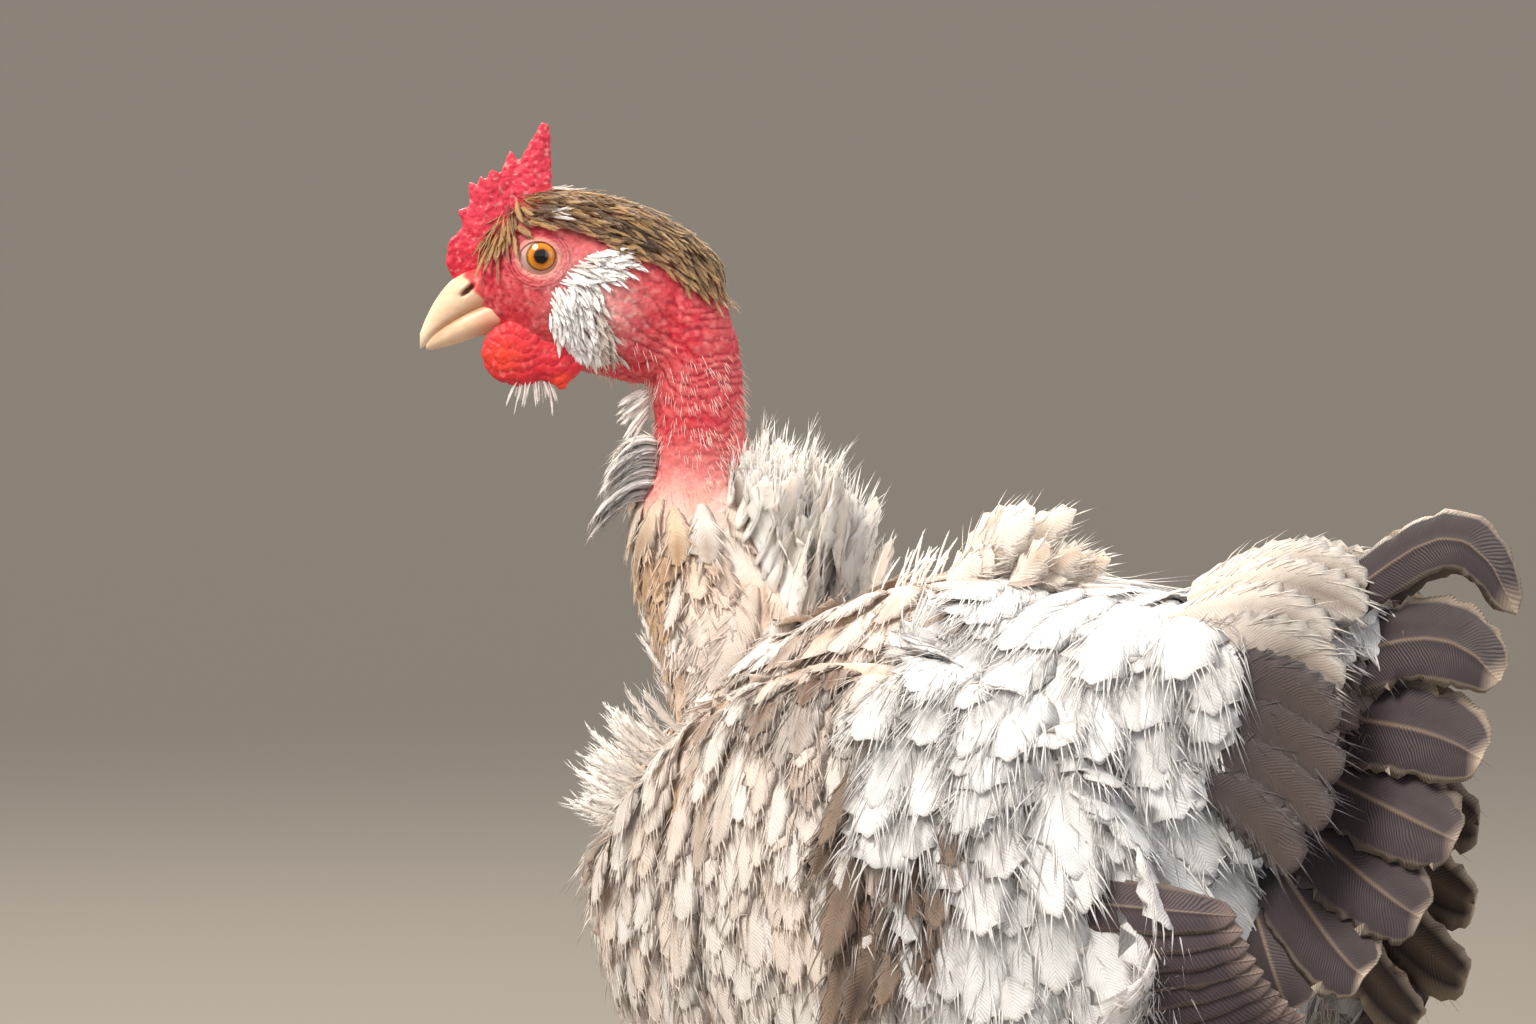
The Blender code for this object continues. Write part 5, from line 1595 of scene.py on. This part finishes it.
# Dark feathers along the saddle's lower edge: partly their own colour, partly painted shadow of the overhanging
# saddle.
roots = scatter(dark_region, 0.0078, 71)
coat("dark_strip", roots, (0.03, 0.15, 72), (0.005, 0.15, 73),
     (0.0024, 0.0072, 74), "tail_feather", (),
     one_colour("66554B", "A18A79", "322825", 0.9), 75, saddle_flow, spread=0.3, strands=9, fringe=0.7)

QUILL_TURNS = np.radians(np.linspace(-36, 6, 10))
for name, flip in (("left", 1), ("right", -1)):
    lines, normals = [], []
    for i, turn in enumerate(QUILL_TURNS):
        share = i / (len(QUILL_TURNS) - 1)
        along = np.linspace(-0.002 + 0.006 * share, 0.128 - 0.01 * share, 12)
        line = [wing_point(x, turn * (1 - 0.12 * t), 0.0085 * t - 0.0042 + 0.0003 * i)
                for t, x in zip(np.linspace(0, 1, 12), along)]
        inner = [wing_point(x, turn * (1 - 0.12 * t), 0.0) for t, x in zip(np.linspace(0, 1, 12), along)]
        lines.append(line)
        normals.append([a - b for a, b in zip(line, inner)])
    points, outs = np.array(lines), np.array(normals)
    if flip < 0:
        points[..., 1] = 2 * FLOOR_POINT.y - points[..., 1]
        outs[..., 1] *= -1
    outs /= np.linalg.norm(outs, axis=2, keepdims=True)
    quill_piece("wing_quills_" + name, points, outs, np.full(len(points), 0.0066), "tail_feather",
                seed=80 + flip, lean=0.18 * flip, dark="4A3F43", rim="A89488", shaft="B5A493", cup=0.1,
                tip=0.22)

roots = scatter(saddle_region, 0.0074, 91)
shorter = np.interp(roots[:, 0] - FLOOR_POINT.x, (0.022, 0.052), (0.55, 1.0))
coat("saddle_feathers", roots, uneven(len(roots), 0.043, 0.14, 92) * shorter, (0.0098, 0.14, 93),
     (0.0026, 0.0088, 94), "white_feather", (), one_colour("EFECEB", "F8F7F7", "D9CFC8", 0.3), 95,
     saddle_flow, spread=0.16, strands=18, blade=0.00024, fringe=0.16, angles=(40, 6), ragged=0.15, loft=0.04)

# %% Feathers that cover the root of the tail
COVERTS = (
    # Root, tip, half width
    ((0.083, 0.004, 0.286), (0.136, 0.003, 0.289), 0.007),
    ((0.086, 0.009, 0.284), (0.14, 0.008, 0.283), 0.0072),
    ((0.084, 0.014, 0.279), (0.134, 0.014, 0.276), 0.0075),
    ((0.088, 0.017, 0.272), (0.14, 0.016, 0.266), 0.0078),
    ((0.094, 0.019, 0.264), (0.14, 0.018, 0.256), 0.0082),
    ((0.096, 0.02, 0.256), (0.142, 0.019, 0.244), 0.0084),
    ((0.098, 0.021, 0.248), (0.139, 0.02, 0.232), 0.0084),
    ((0.098, 0.022, 0.24), (0.132, 0.022, 0.221), 0.0082),
)
COVERT = np.array([(0.0, 0.3)] + [
    (t, (0.35 + 0.65 * min(t / 0.45, 1)) * math.sqrt(max(1 - max(t - 0.72, 0) ** 2 / 0.08, 0.01)))
    for t in np.linspace(0.05, 1.0, 22)
])


def covert_paints(places):
    """Cream over the tail's root, and dark with a beige tip lower down."""
    _, _, z = body_coordinates(places)
    count = len(places)
    low = smoothstep(0.28, 0.268, z)
    base = blend(linear("D8C8BA"), linear("2C2528"), low)
    tip = blend(linear("F0E8DF"), linear("4C4245"), low * 0.95)
    return base, tip, np.tile(linear("4A3D3A"), (count, 1)), np.full(count, 0.75)


for name, side in (("left", -1), ("right", 1)):
    points, outs = [], []
    for k, (root, tip, half) in enumerate(COVERTS):
        a, b = on_body(root[0], side * root[1], root[2]), on_body(tip[0], side * tip[1], tip[2])
        lift = Vector((0, side * (0.0045 + 0.0005 * k), 0.001))
        bow = [UP * 0.006 * math.sin(math.pi * t) for t in np.linspace(0, 1, 12)]
        points.append([a.lerp(b, t) + lift + rise for t, rise in zip(np.linspace(0, 1, 12), bow)])
        outs.append([Vector((0.0, side * 1.0, 0.55 if k < 3 else 0.15)).normalized()] * 12)
    widths = np.array([row[2] for row in COVERTS])
    feather_piece("tail_coverts_" + name, np.array(points), np.array(outs), widths, "tail_feather", (),
                  covert_paints, 100 + side, strands=26, blade=0.0002, fringe=0.1, ragged=0.1,
                  angles=(44, 8), first=0.1, shape=COVERT)

# %% [markdown]
# ## Small plumes
# Thin single plumes stand on the back and hang under the wattle and the throat. The breast has a ruff of
# down where it meets the wing.

# %% Raised feathers and plumes
def plumes(name, roots, ways, length, width, slot, paints, seed, bend=(0, 0, -0.15), out=(0, -1, 0.2),
           **barbs):
    """A few feathers with the roots and directions given."""
    roots, ways = np.asarray(roots, float), np.asarray(ways, float)
    count = len(roots)
    draw = np.random.default_rng(seed)
    ways = ways + draw.normal(0, 0.12, ways.shape)
    bends = np.tile(bend, (count, 1)) + draw.normal(0, 0.08, (count, 3))
    points, outs = bent(roots, ways, uneven(count, length, 0.22, seed + 1), bends, np.tile(out, (count, 1)))
    widths = uneven(count, width, 0.2, seed + 2)
    return feather_piece(name, points, outs, widths, slot, (), paints, seed + 3, **barbs)


def spread_over(count, middle, reach, seed):
    """Places on the skin around a middle one."""
    draw = np.random.default_rng(seed)
    return np.array([on_skin(*(np.array(middle) + draw.uniform(-1, 1, 3) * reach)) for _ in range(count)])


WHITE_PLUME = one_colour("F4EEE8", "FBF8F4", "DAC9B8", 0.3)
roots = np.array([
    on_skin(x, y, 0.289) for x in (0.006, 0.01, 0.013, 0.026, 0.029) for y in (-0.011, -0.007, -0.003, 0.001)
])
ways = [(0.85, -0.05, 1.0) if x < FLOOR_POINT.x + 0.02 else (1.1, -0.05, 0.75) for x in roots[:, 0]]
plumes("raised_feathers", roots, ways, 0.0205, 0.0044, "white_feather",
       one_colour("F0E3D6", "F7EEE4", "A98F78", 0.7), 111, bend=(0.15, 0, -0.1), strands=9, blade=0.00018,
       fringe=0.2)
roots = spread_over(26, (-0.01, -0.004, 0.286), (0.01, 0.01, 0.002), 112)
plumes("back_plumes", roots, np.tile((0.35, 0.0, 1.0), (len(roots), 1)), 0.012, 0.0004, "white_feather",
       WHITE_PLUME, 113, bend=(0.2, 0, 0), strands=2, blade=0.0001, fringe=0.4, angles=(14, 4),
       material=DOWN)
roots = spread_over(60, (-0.074, -0.036, 0.236), (0.014, 0.01, 0.014), 114)
away = roots - np.array(on_body(-0.045, 0.0, 0.225))
ways = away / np.linalg.norm(away, axis=1, keepdims=True) + (-0.1, 0, 0.35)
plumes("breast_down", roots, ways, 0.015, 0.001, "white_feather", WHITE_PLUME, 115, bend=(0.1, 0, 0.1),
       strands=6, blade=0.00012, fringe=2.2, angles=(30, 8), material=DOWN)
f = np.linspace(0.0068, -0.0022, 22)
roots = [on_head(a, 0.0075 + 0.0012 * math.sin(40 * i), -0.0325) for i, a in enumerate(f)]
ways = [FORWARD * (a - 0.0022) * 90 - UP * 1.0 + LEFT * 0.1 * math.sin(7 * i) for i, a in enumerate(f)]
plumes("wattle_wisps", roots, ways, 0.005, 0.00035, "pale_feather", WHITE_PLUME, 116, strands=3,
       blade=0.00008, fringe=1.2, angles=(22, 6), material=DOWN)
roots = [
    on_head(-0.0262 - 0.0006 * (i % 3), 0.004 + 0.0004 * (i % 7), -0.0345 - 0.0004 * i) for i in range(18)
]
ways = [FORWARD * 1.0 - UP * (0.25 + 0.06 * i) + LEFT * 0.2 for i in range(18)]
plumes("throat_wisps", roots, ways, 0.0075, 0.0006, "pale_feather", WHITE_PLUME, 117, strands=4, blade=0.0001,
       fringe=1.2, angles=(26, 6), material=DOWN)

# %% [markdown]
# ## Feathers of the head
# The cap is golden brown with dark flecks, and darkens down the nape. Its feathers are the smallest, and lie
# back from the comb. The ear tuft is stiff and hair-like: a white band that curves behind the eye and down.

# %% Cap and ear tufts
def inside(f, u, polygon):
    """Whether each point lies inside a polygon, given in millimetres."""
    within = np.zeros(len(f), bool)
    for (f1, u1), (f2, u2) in zip(polygon, polygon[1:] + polygon[:1]):
        f1, u1, f2, u2 = (v / 1000 for v in (f1, u1, f2, u2))
        crosses = (u1 > u) != (u2 > u)
        within ^= crosses & (f < (f2 - f1) * (u - u1) / (u2 - u1 + 1e-12) + f1)
    return within


CAP = [(11.5, 20), (13.8, 1.5), (11, 1.0), (8.5, 5.0), (4, 7.4), (-3, 8), (-10, 6), (-20, 1), (-30.5, -2.3),
       (-37, -6), (-44, -9), (-52, -9), (-52, 20)]
EAR = [(-22.3, -1.5), (-15, 2), (-8.7, -1.5), (-2.8, -8.7), (-1.8, -13.8), (-4.9, -21.5), (-12.6, -25.9),
       (-18.2, -24), (-16.4, -19), (-14.6, -11.3), (-12.6, -7.4)]


def cap_region(local, normals):
    f, _, u = head_coordinates(local + np.array(FLOOR_POINT))
    return inside(f, u, CAP) & (local[:, 0] < -0.03)


def ear_region(local, normals):
    f, l, u = head_coordinates(local + np.array(FLOOR_POINT))
    return inside(f, u, EAR) & (np.abs(l) > 0.006) & (local[:, 0] < -0.03)


def cap_flow(place, normal):
    """Back over the crown, down beside the comb and down the nape."""
    f, l, _ = head_coordinates(np.array([place]))
    f, side = float(f[0]), 1 if l[0] > 0 else -1
    back = float(np.interp(f, (-0.04, -0.02, 0.0, 0.008, 0.013), (0.8, 1.0, 1.0, 0.35, -0.1)))
    down = float(np.interp(f, (-0.04, -0.02, 0.0, 0.008, 0.013), (1.1, 0.42, 0.3, 0.8, 1.0)))
    return along_skin(-FORWARD * back - UP * down + LEFT * side * 0.35 * max(normal.z, 0), normal)


def ear_flow(place, normal):
    """Back in the upper patch, and down and a little back below it."""
    _, _, u = head_coordinates(np.array([place]))
    low = float(np.interp(u[0], (-0.012, -0.002), (1, 0)))
    return along_skin(-FORWARD * (0.95 - 0.55 * low) - UP * (0.15 + 0.85 * low), normal)


def cap_paints(places):
    """Golden brown with dark flecks, dark on the nape and beside the comb, and white behind the comb."""
    f, _, u = head_coordinates(places)
    base = blend(linear("AE702F"), linear("D09B58"), cloud(places, 300, 34))
    tip = blend(base, linear("DDB988"), 0.6)
    high = smoothstep(0.004, 0.01, u + 0.25 * np.maximum(-f, 0))
    flecks = smoothstep(0.47, 0.55, cloud(places, 420, 35)) * high
    nape = smoothstep(-0.022, -0.038, f + 0.004 * (cloud(places, 300, 36) - 0.5))
    front = smoothstep(0.006, 0.01, f) * smoothstep(0.006, 0.011, u)
    dark = np.clip(flecks * 0.85 + nape * 0.75 + front * 0.7, 0, 1)
    base = blend(base, linear("3B2B22"), dark)
    tip = blend(tip, linear("4A382C"), np.clip(flecks * 0.9 + nape * 0.5, 0, 1))
    spot = (np.hypot(f + 0.0062, (u - 0.0112) * 1.4) < 0.0024) | ((u > 0.0165) & (f > -0.012) & (f < -0.003))
    white = np.where(spot, 1.0, 0.0)
    streak = np.where(nape[:, None] > 0.5, linear("C79A62"), linear("33251D"))
    each = smoothstep(0.5, 0.62, cloud(places, 900, 38))
    return (blend(base, CREAM, white), blend(tip, CREAM, white), streak,
            np.clip(0.25 + each * 0.6 + nape * 0.3, 0, 1) * (1 - white))


def ear_paints(places):
    """White, with grey tan where it starts behind the eye and brown at its lower back edge."""
    f, _, u = head_coordinates(places)
    count = len(places)
    start = np.clip(1.3 - np.hypot((f + 0.0095) / 0.0055, (u + 0.001) / 0.004), 0, 1)
    lower = smoothstep(-0.0125, -0.0165, f) * smoothstep(-0.01, -0.016, u)
    base = blend(linear("FFFEFC"), linear("B99A7C"), np.clip(start, 0, 1) * 0.8)
    base = blend(base, linear("9A7350"), lower * 0.85)
    grey = smoothstep(0.62, 0.72, cloud(places, 380, 37)) * 0.12
    return blend(base, linear("B8A99C"), grey), blend(base, PURE, 0.6), \
        np.tile(linear("B8A99C"), (count, 1)), grey


roots = scatter(cap_region, 0.00128, 121)
draw = np.random.default_rng(122)
coat("cap_feathers", roots, (0.007, 0.2, 123), (0.00058, 0.2, 124),
     np.c_[draw.uniform(0.0002, 0.0018, len(roots)), draw.uniform(0.001, 0.003, len(roots))], "cap_feather",
     ("crown_cap",), cap_paints, 125, cap_flow, spread=0.18, strands=2, blade=0.00009, fringe=1.0,
     angles=(20, 4), ragged=0.14, thick=0.00006, material=DOWN)
roots = scatter(ear_region, 0.00088, 131)
draw = np.random.default_rng(132)
coat("ear_tuft_feathers", roots, (0.0052, 0.25, 133), (0.00056, 0.25, 134),
     np.c_[draw.uniform(0.0, 0.0006, len(roots)), draw.uniform(0.001, 0.0024, len(roots))], "pale_feather",
     ("ear_tuft_left", "ear_tuft_right"), ear_paints, 135, ear_flow, spread=0.28, strands=3, blade=0.00009,
     fringe=1.2, angles=(24, 6), ragged=0.08, thick=0.00005,
     material=feather_material("white_ear_down", glow=0.0, groove_shade=0.02, ridges=0.0))

# %% [markdown]
# ## Stubble of the bare neck
# The bare neck isn't quite bare: single hairs, each a filoplume, stand in the skin. A Geometry Nodes tree
# spreads points over the neck's faces by a painted density, sets a thin cone on each along the surface, and
# makes them real. The seed is fixed, so the hairs are the same every time.

# %% How a tree starts, ends and is used
def started_tree(name, **kinds):
    """A tree with named inputs: returns it, the sockets that give them and their identifiers."""
    tree = bpy.data.node_groups.new(name, "GeometryNodeTree")
    ids = {
        label: tree.interface.new_socket(label, in_out="INPUT", socket_type="NodeSocket" + kind).identifier
        for label, kind in kinds.items()
    }
    tree.interface.new_socket("Geometry", in_out="OUTPUT", socket_type="NodeSocketGeometry")
    return tree, tree.nodes.new("NodeGroupInput").outputs, ids


def end_tree(tree, put, material):
    """Makes the instances real, gives them their material and sends them out."""
    real = add_node(tree, "GeometryNodeRealizeInstances", Geometry=put.outputs["Instances"])
    named = add_node(tree, "GeometryNodeSetMaterial", Geometry=real.outputs["Geometry"], Material=material)
    out = tree.nodes.new("NodeGroupOutput")
    tree.links.new(named.outputs["Geometry"], out.inputs["Geometry"])


def grown(obj, tree, ids, **values):
    """The mesh that a tree makes on an object, with each input set by its socket's identifier."""
    modifier = obj.modifiers.new(tree.name, "NODES")
    modifier.node_group = tree
    for label, value in values.items():
        modifier[ids[label]] = value
    obj.update_tag()
    return made_plain(obj)


# %% Stubble
def stubble_tree():
    """The node tree that sets hairs on a mesh by its attribute hair_density."""
    tree, given, ids = started_tree("stubble", Geometry="Geometry", Hair="Object", Most="Float", Seed="Int",
                                    Lay="Vector", Material="Material")
    density = add_node(tree, "GeometryNodeInputNamedAttribute", {"data_type": "FLOAT"}, Name="hair_density")
    number = add_node(tree, "ShaderNodeMath", {"operation": "MULTIPLY"}, _0=density.outputs["Attribute"],
                      _1=given["Most"])
    spread = add_node(tree, "GeometryNodeDistributePointsOnFaces", Mesh=given["Geometry"],
                      Density=number.outputs[0], Seed=given["Seed"])
    hair = add_node(tree, "GeometryNodeObjectInfo", Object=given["Hair"])
    way = add_node(tree, "ShaderNodeVectorMath", {"operation": "ADD"}, _0=spread.outputs["Normal"],
                   _1=given["Lay"])
    turn = add_node(tree, "FunctionNodeAlignRotationToVector", {"axis": "Z"}, Vector=way.outputs["Vector"])
    size = add_node(tree, "FunctionNodeRandomValue", {"data_type": "FLOAT"}, Seed=given["Seed"])
    size.inputs[2].default_value, size.inputs[3].default_value = 0.5, 1.3
    put = add_node(tree, "GeometryNodeInstanceOnPoints", Points=spread.outputs["Points"],
                   Instance=hair.outputs["Geometry"], Rotation=turn.outputs["Rotation"])
    tree.links.new(size.outputs[1], put.inputs["Scale"])
    end_tree(tree, put, given["Material"])
    return tree, ids


HAIR_ROWS = ((0.0, 0.000075), (0.5, 0.00006), (1.0, 0.00001))
HAIR_LENGTH = 0.0026
HAIRS_PER_SQUARE_METRE = 900000.0
hair_points = [(r * math.cos(a) + 0.0005 * t * t, r * math.sin(a), HAIR_LENGTH * t) for t, r in HAIR_ROWS
               for a in (0, 2.094, 4.189)]
hair = placed("hair", plain_mesh("hair", hair_points, capped(len(HAIR_ROWS), 3)))
f, l, u = head_coordinates(skin_points)
above_down = smoothstep(0.296, 0.306, skin_points[:, 2] - FLOOR_POINT.z)
density = smoothstep(-0.02, -0.034, u) * above_down * (f < -0.012)
density = density * smoothstep(0.42, 0.62, cloud(skin_points, 260, 41))
bm = bmesh.new()
bm.from_mesh(body_mesh)
bm.verts.ensure_lookup_table()
layer = bm.verts.layers.float.new("hair_density")
for v in bm.verts:
    v[layer] = density[v.index]
bmesh.ops.delete(bm, geom=[v for v in bm.verts if v[layer] <= 0], context="VERTS")
ground = bpy.data.meshes.new("neck_ground")
bm.to_mesh(ground)
bm.free()
neck_ground = placed("neck_ground", ground)
HAIR, tree, shader = new_material("filoplume_keratin", Roughness=0.6, Subsurface_Weight=0.1,
                                  Subsurface_Scale=0.001)
where = add_node(tree, "ShaderNodeTexCoord").outputs["Object"]
tuft = add_node(tree, "ShaderNodeTexNoise", Vector=where, Scale=250.0).outputs["Fac"]
tone = add_node(tree, "ShaderNodeMix", {"data_type": "RGBA"}, _0=tuft, _6=(*linear("E3B9AE"), 1),
                _7=(*linear("F6EAE2"), 1))
tree.links.new(tone.outputs[2], shader.inputs["Base Color"])
made = grown(neck_ground, *stubble_tree(), Hair=hair, Most=HAIRS_PER_SQUARE_METRE, Seed=7,
             Lay=(0.35, -0.1, -1.0), Material=HAIR)
bpy.data.objects.remove(hair)
places = coordinates(made)
uv = made.uv_layers.new(name="OFBake")
corner = np.empty(len(made.loops), np.int32)
made.loops.foreach_get("vertex_index", corner)
roots = places[(corner // len(hair_points)) * len(hair_points)]
grid = np.c_[(corner % 3) / 3, (corner % len(hair_points)) / len(hair_points)]
uv.data.foreach_set("uv", (unwrap(roots) + (grid - 0.5) * PATCH).astype(np.float32).ravel())
add_piece("neck_stubble", made, HAIR, "pale_feather")

# %% [markdown]
# ## Legs
# A shank is covered with broad scutes down its front and small scales behind. One Geometry Nodes tree sets
# the scutes: it takes a line, cuts it to a number of points, and stands a curved plate on each, turned to
# face the front. The same tree serves the shanks and the toes. The legs under them are melted from plain
# tubes.

# %% Scutes along a line
FOOT_X = 0.01
FOOT_Y = 0.0365
HOCK = Vector((0.04, -0.0375, 0.088))
ANKLE = Vector((0.0115, -0.0365, 0.0125))
TOES = ((4, 0.048), (-36, 0.038), (40, 0.042), (196, 0.019))
TOE_HEIGHTS = (0.0075, 0.0062, 0.0048, 0.0036, 0.003)
TOE_RADII = (0.0054, 0.0043, 0.0039, 0.0034, 0.0027)
CLAW_LENGTH = 0.011
SHANK_SCUTES = 22
TOE_SCUTE_GAP = 0.0031


def leg_point(p, side):
    """A point of the left leg, or its mirror on the right for side 1."""
    return on_body(p[0], p[1] * (1 if side < 0 else -1), p[2])


def toe_line(angle, length, side):
    angle = math.radians(angle)
    ahead = Vector((-math.cos(angle), -math.sin(angle), 0)) * length
    return [leg_point(Vector((FOOT_X, -FOOT_Y, z)) + ahead * i / 4, side) for i, z in enumerate(TOE_HEIGHTS)]


def tube_form(path, radii, count=24):
    """A round form along a path."""
    rings = []
    for i, (point, radius) in enumerate(zip(path, radii)):
        along = (path[min(i + 1, len(path) - 1)] - path[max(i - 1, 0)]).normalized()
        side = along.cross(Vector((0, 1, 0)) if abs(along.y) < 0.9 else UP).normalized()
        rings.append((point, side * radius, along.cross(side) * radius))
    return loft(rings, count)


def plate_mesh():
    """One scute: a thin plate that bends round the front of the leg, of 24 faces."""
    points, faces = [], []
    for k, (z, lift) in enumerate(((-0.62, 0.05), (-0.3, 0.14), (0.3, 0.1), (0.55, -0.1))):
        for i in range(9):
            angle = math.radians(-78 + 156 * i / 8)
            drop = 0.16 * (abs(i - 4) / 4) ** 2
            points.append(((1 + lift) * math.cos(angle), (1 + lift) * math.sin(angle), z * (1 - 0.25 * drop)))
    for k in range(3):
        for i in range(8):
            faces.append((k * 9 + i, k * 9 + i + 1, (k + 1) * 9 + i + 1, (k + 1) * 9 + i))
    return plain_mesh("scute", points, faces)


def scute_tree():
    """The node tree that sets plates along a line."""
    tree, given, ids = started_tree(
        "scutes_along_line", Geometry="Geometry", Plate="Object", Count="Int", Front="Vector", Width="Float",
        Height="Float", Narrowing="Float", Material="Material",
    )
    curve = add_node(tree, "GeometryNodeMeshToCurve", Mesh=given["Geometry"])
    cut = add_node(tree, "GeometryNodeResampleCurve", Curve=curve.outputs["Curve"], Count=given["Count"])
    plate = add_node(tree, "GeometryNodeObjectInfo", Object=given["Plate"])
    along = tree.nodes.new("GeometryNodeInputTangent").outputs["Tangent"]
    upright = add_node(tree, "FunctionNodeAlignRotationToVector", {"axis": "Z"}, Vector=along)
    turned = add_node(tree, "FunctionNodeAlignRotationToVector", {"axis": "X", "pivot_axis": "Z"},
                      Rotation=upright.outputs["Rotation"], Vector=given["Front"])
    share = tree.nodes.new("GeometryNodeSplineParameter").outputs["Factor"]
    narrow = add_node(tree, "ShaderNodeMapRange", Value=share, To_Min=1.0, To_Max=given["Narrowing"])
    wide = add_node(tree, "ShaderNodeMath", {"operation": "MULTIPLY"}, _0=given["Width"],
                    _1=narrow.outputs["Result"])
    size = add_node(tree, "ShaderNodeCombineXYZ", X=wide.outputs[0], Y=wide.outputs[0], Z=given["Height"])
    put = add_node(tree, "GeometryNodeInstanceOnPoints", Points=cut.outputs["Curve"],
                   Instance=plate.outputs["Geometry"], Rotation=turned.outputs["Rotation"],
                   Scale=size.outputs["Vector"])
    end_tree(tree, put, given["Material"])
    return tree, ids


def scale_material(name, hex_pale, hex_dark, roughness, scale):
    material, tree, shader = new_material(name, Roughness=roughness, IOR=1.5, Specular_IOR_Level=0.4)
    where = add_node(tree, "ShaderNodeTexCoord").outputs["Object"]
    cells = add_node(tree, "ShaderNodeTexVoronoi", {"feature": "DISTANCE_TO_EDGE"}, Vector=where, Scale=scale)
    stain = add_node(tree, "ShaderNodeTexNoise", Vector=where, Scale=120.0, Detail=3.0).outputs["Fac"]
    edge = add_node(tree, "ShaderNodeMapRange", Value=cells.outputs["Distance"], From_Max=0.12)
    tone = add_node(tree, "ShaderNodeMix", {"data_type": "RGBA"}, _0=edge.outputs["Result"],
                    _6=(*linear(hex_dark), 1), _7=(*linear(hex_pale), 1))
    worn = add_node(tree, "ShaderNodeMapRange", Value=stain, To_Min=0.8, To_Max=1.12)
    shade = add_node(tree, "ShaderNodeVectorMath", {"operation": "SCALE"}, _0=tone.outputs[2],
                     Scale=worn.outputs["Result"])
    tree.links.new(shade.outputs["Vector"], shader.inputs["Base Color"])
    bump = add_node(tree, "ShaderNodeBump", Height=edge.outputs["Result"], Strength=0.5, Distance=0.0003)
    tree.links.new(bump.outputs["Normal"], shader.inputs["Normal"])
    return material


SCALES = scale_material("leg_scales", "D5BF98", "9C8460", 0.5, 620)
SCUTE = scale_material("leg_scutes", "DCC8A2", "D0B88E", 0.42, 150)
plate = placed("scute", plate_mesh())
SCUTES = scute_tree()


def scutes_on(line, count, front, width, height, narrowing):
    """A mesh of scutes along a line of points."""
    mesh = bpy.data.meshes.new("line")
    mesh.from_pydata([tuple(p) for p in line], [(i, i + 1) for i in range(len(line) - 1)], [])
    obj = placed("line", mesh)
    return grown(obj, *SCUTES, Plate=plate, Count=count, Front=front, Width=width, Height=height,
                 Narrowing=narrowing, Material=SCUTE)


# %% Legs, feet and claws
def above_floor(mesh, lowest=0.0002):
    places = coordinates(mesh)
    places[:, 2] = np.maximum(places[:, 2], FLOOR_POINT.z + lowest)
    return move_points(mesh, places)


CLAW, tree, shader = new_material("claw_keratin", Roughness=0.35, IOR=1.54)
where = add_node(tree, "ShaderNodeTexCoord").outputs["Object"]
grow = add_node(tree, "ShaderNodeTexNoise", Vector=where, Scale=300.0, Detail=2.0).outputs["Fac"]
tone = add_node(tree, "ShaderNodeMix", {"data_type": "RGBA"}, _0=grow, _6=(*linear("A58E70"), 1),
                _7=(*linear("CDB796"), 1))
tree.links.new(tone.outputs[2], shader.inputs["Base Color"])

for name, side in (("left", -1), ("right", 1)):
    hock, ankle = leg_point(HOCK, side), leg_point(ANKLE, side)
    shares = (-0.09, 0.0, 0.06, 0.14, 0.3, 0.6, 0.9, 1.0)
    radii = (0.0056, 0.0068, 0.0066, 0.0054, 0.0046, 0.0045, 0.0047, 0.005)
    forms = [tube_form([hock.lerp(ankle, t) for t in shares], radii),
             egg(leg_point((FOOT_X, -FOOT_Y, 0.0074), side), (0.008, 0.0074, 0.0072), (FORWARD, LEFT, UP))]
    shank = [hock.lerp(ankle, t) for t in (0.05, 0.96)]
    plates = [scutes_on(shank, SHANK_SCUTES, (-1, 0, -0.3), 0.0046, 0.0024, 1.03)]
    claws = []
    for angle, length in TOES:
        line = toe_line(angle, length, side)
        forms.append(tube_form(line, TOE_RADII))
        number = max(int(length / TOE_SCUTE_GAP), 5)
        covered = line[:-1] + [line[-1].lerp(line[-2], 0.15)]
        plates.append(scutes_on(covered, number, (0, 0, 1), 0.0045, 0.0021, 0.66))
        ahead = (line[-1] - line[-2]).normalized()
        ahead.z = 0
        path = [line[-1] + ahead * (CLAW_LENGTH * t - 0.001) + UP * drop for t, drop in
                zip(np.linspace(0, 1, 7), (0.0005, 0.0006, 0.0004, 0.0, -0.0006, -0.0013, -0.0021))]
        claws.append(tube_form(path, (0.0021, 0.0021, 0.0019, 0.0016, 0.0012, 0.0008, 0.0002)))
    leg = above_floor(melted("leg_" + name, forms, 0.0007, 3))
    add_piece("leg_scales_" + name, leg, SCALES, "leg_scale", "shank_" + name, "foot_" + name, smooth=True)
    cover = above_floor(joined("leg_scutes_" + name, plates))
    add_piece("leg_scutes_" + name, cover, SCUTE, "leg_scale", smooth=True)
    add_piece("claws_of_" + name, above_floor(forms_mesh("claws_" + name, claws)), CLAW, "claw_horn",
              *[f"claw_{name}_{k}" for k in range(1, 5)], smooth=True)
bpy.data.objects.remove(plate)
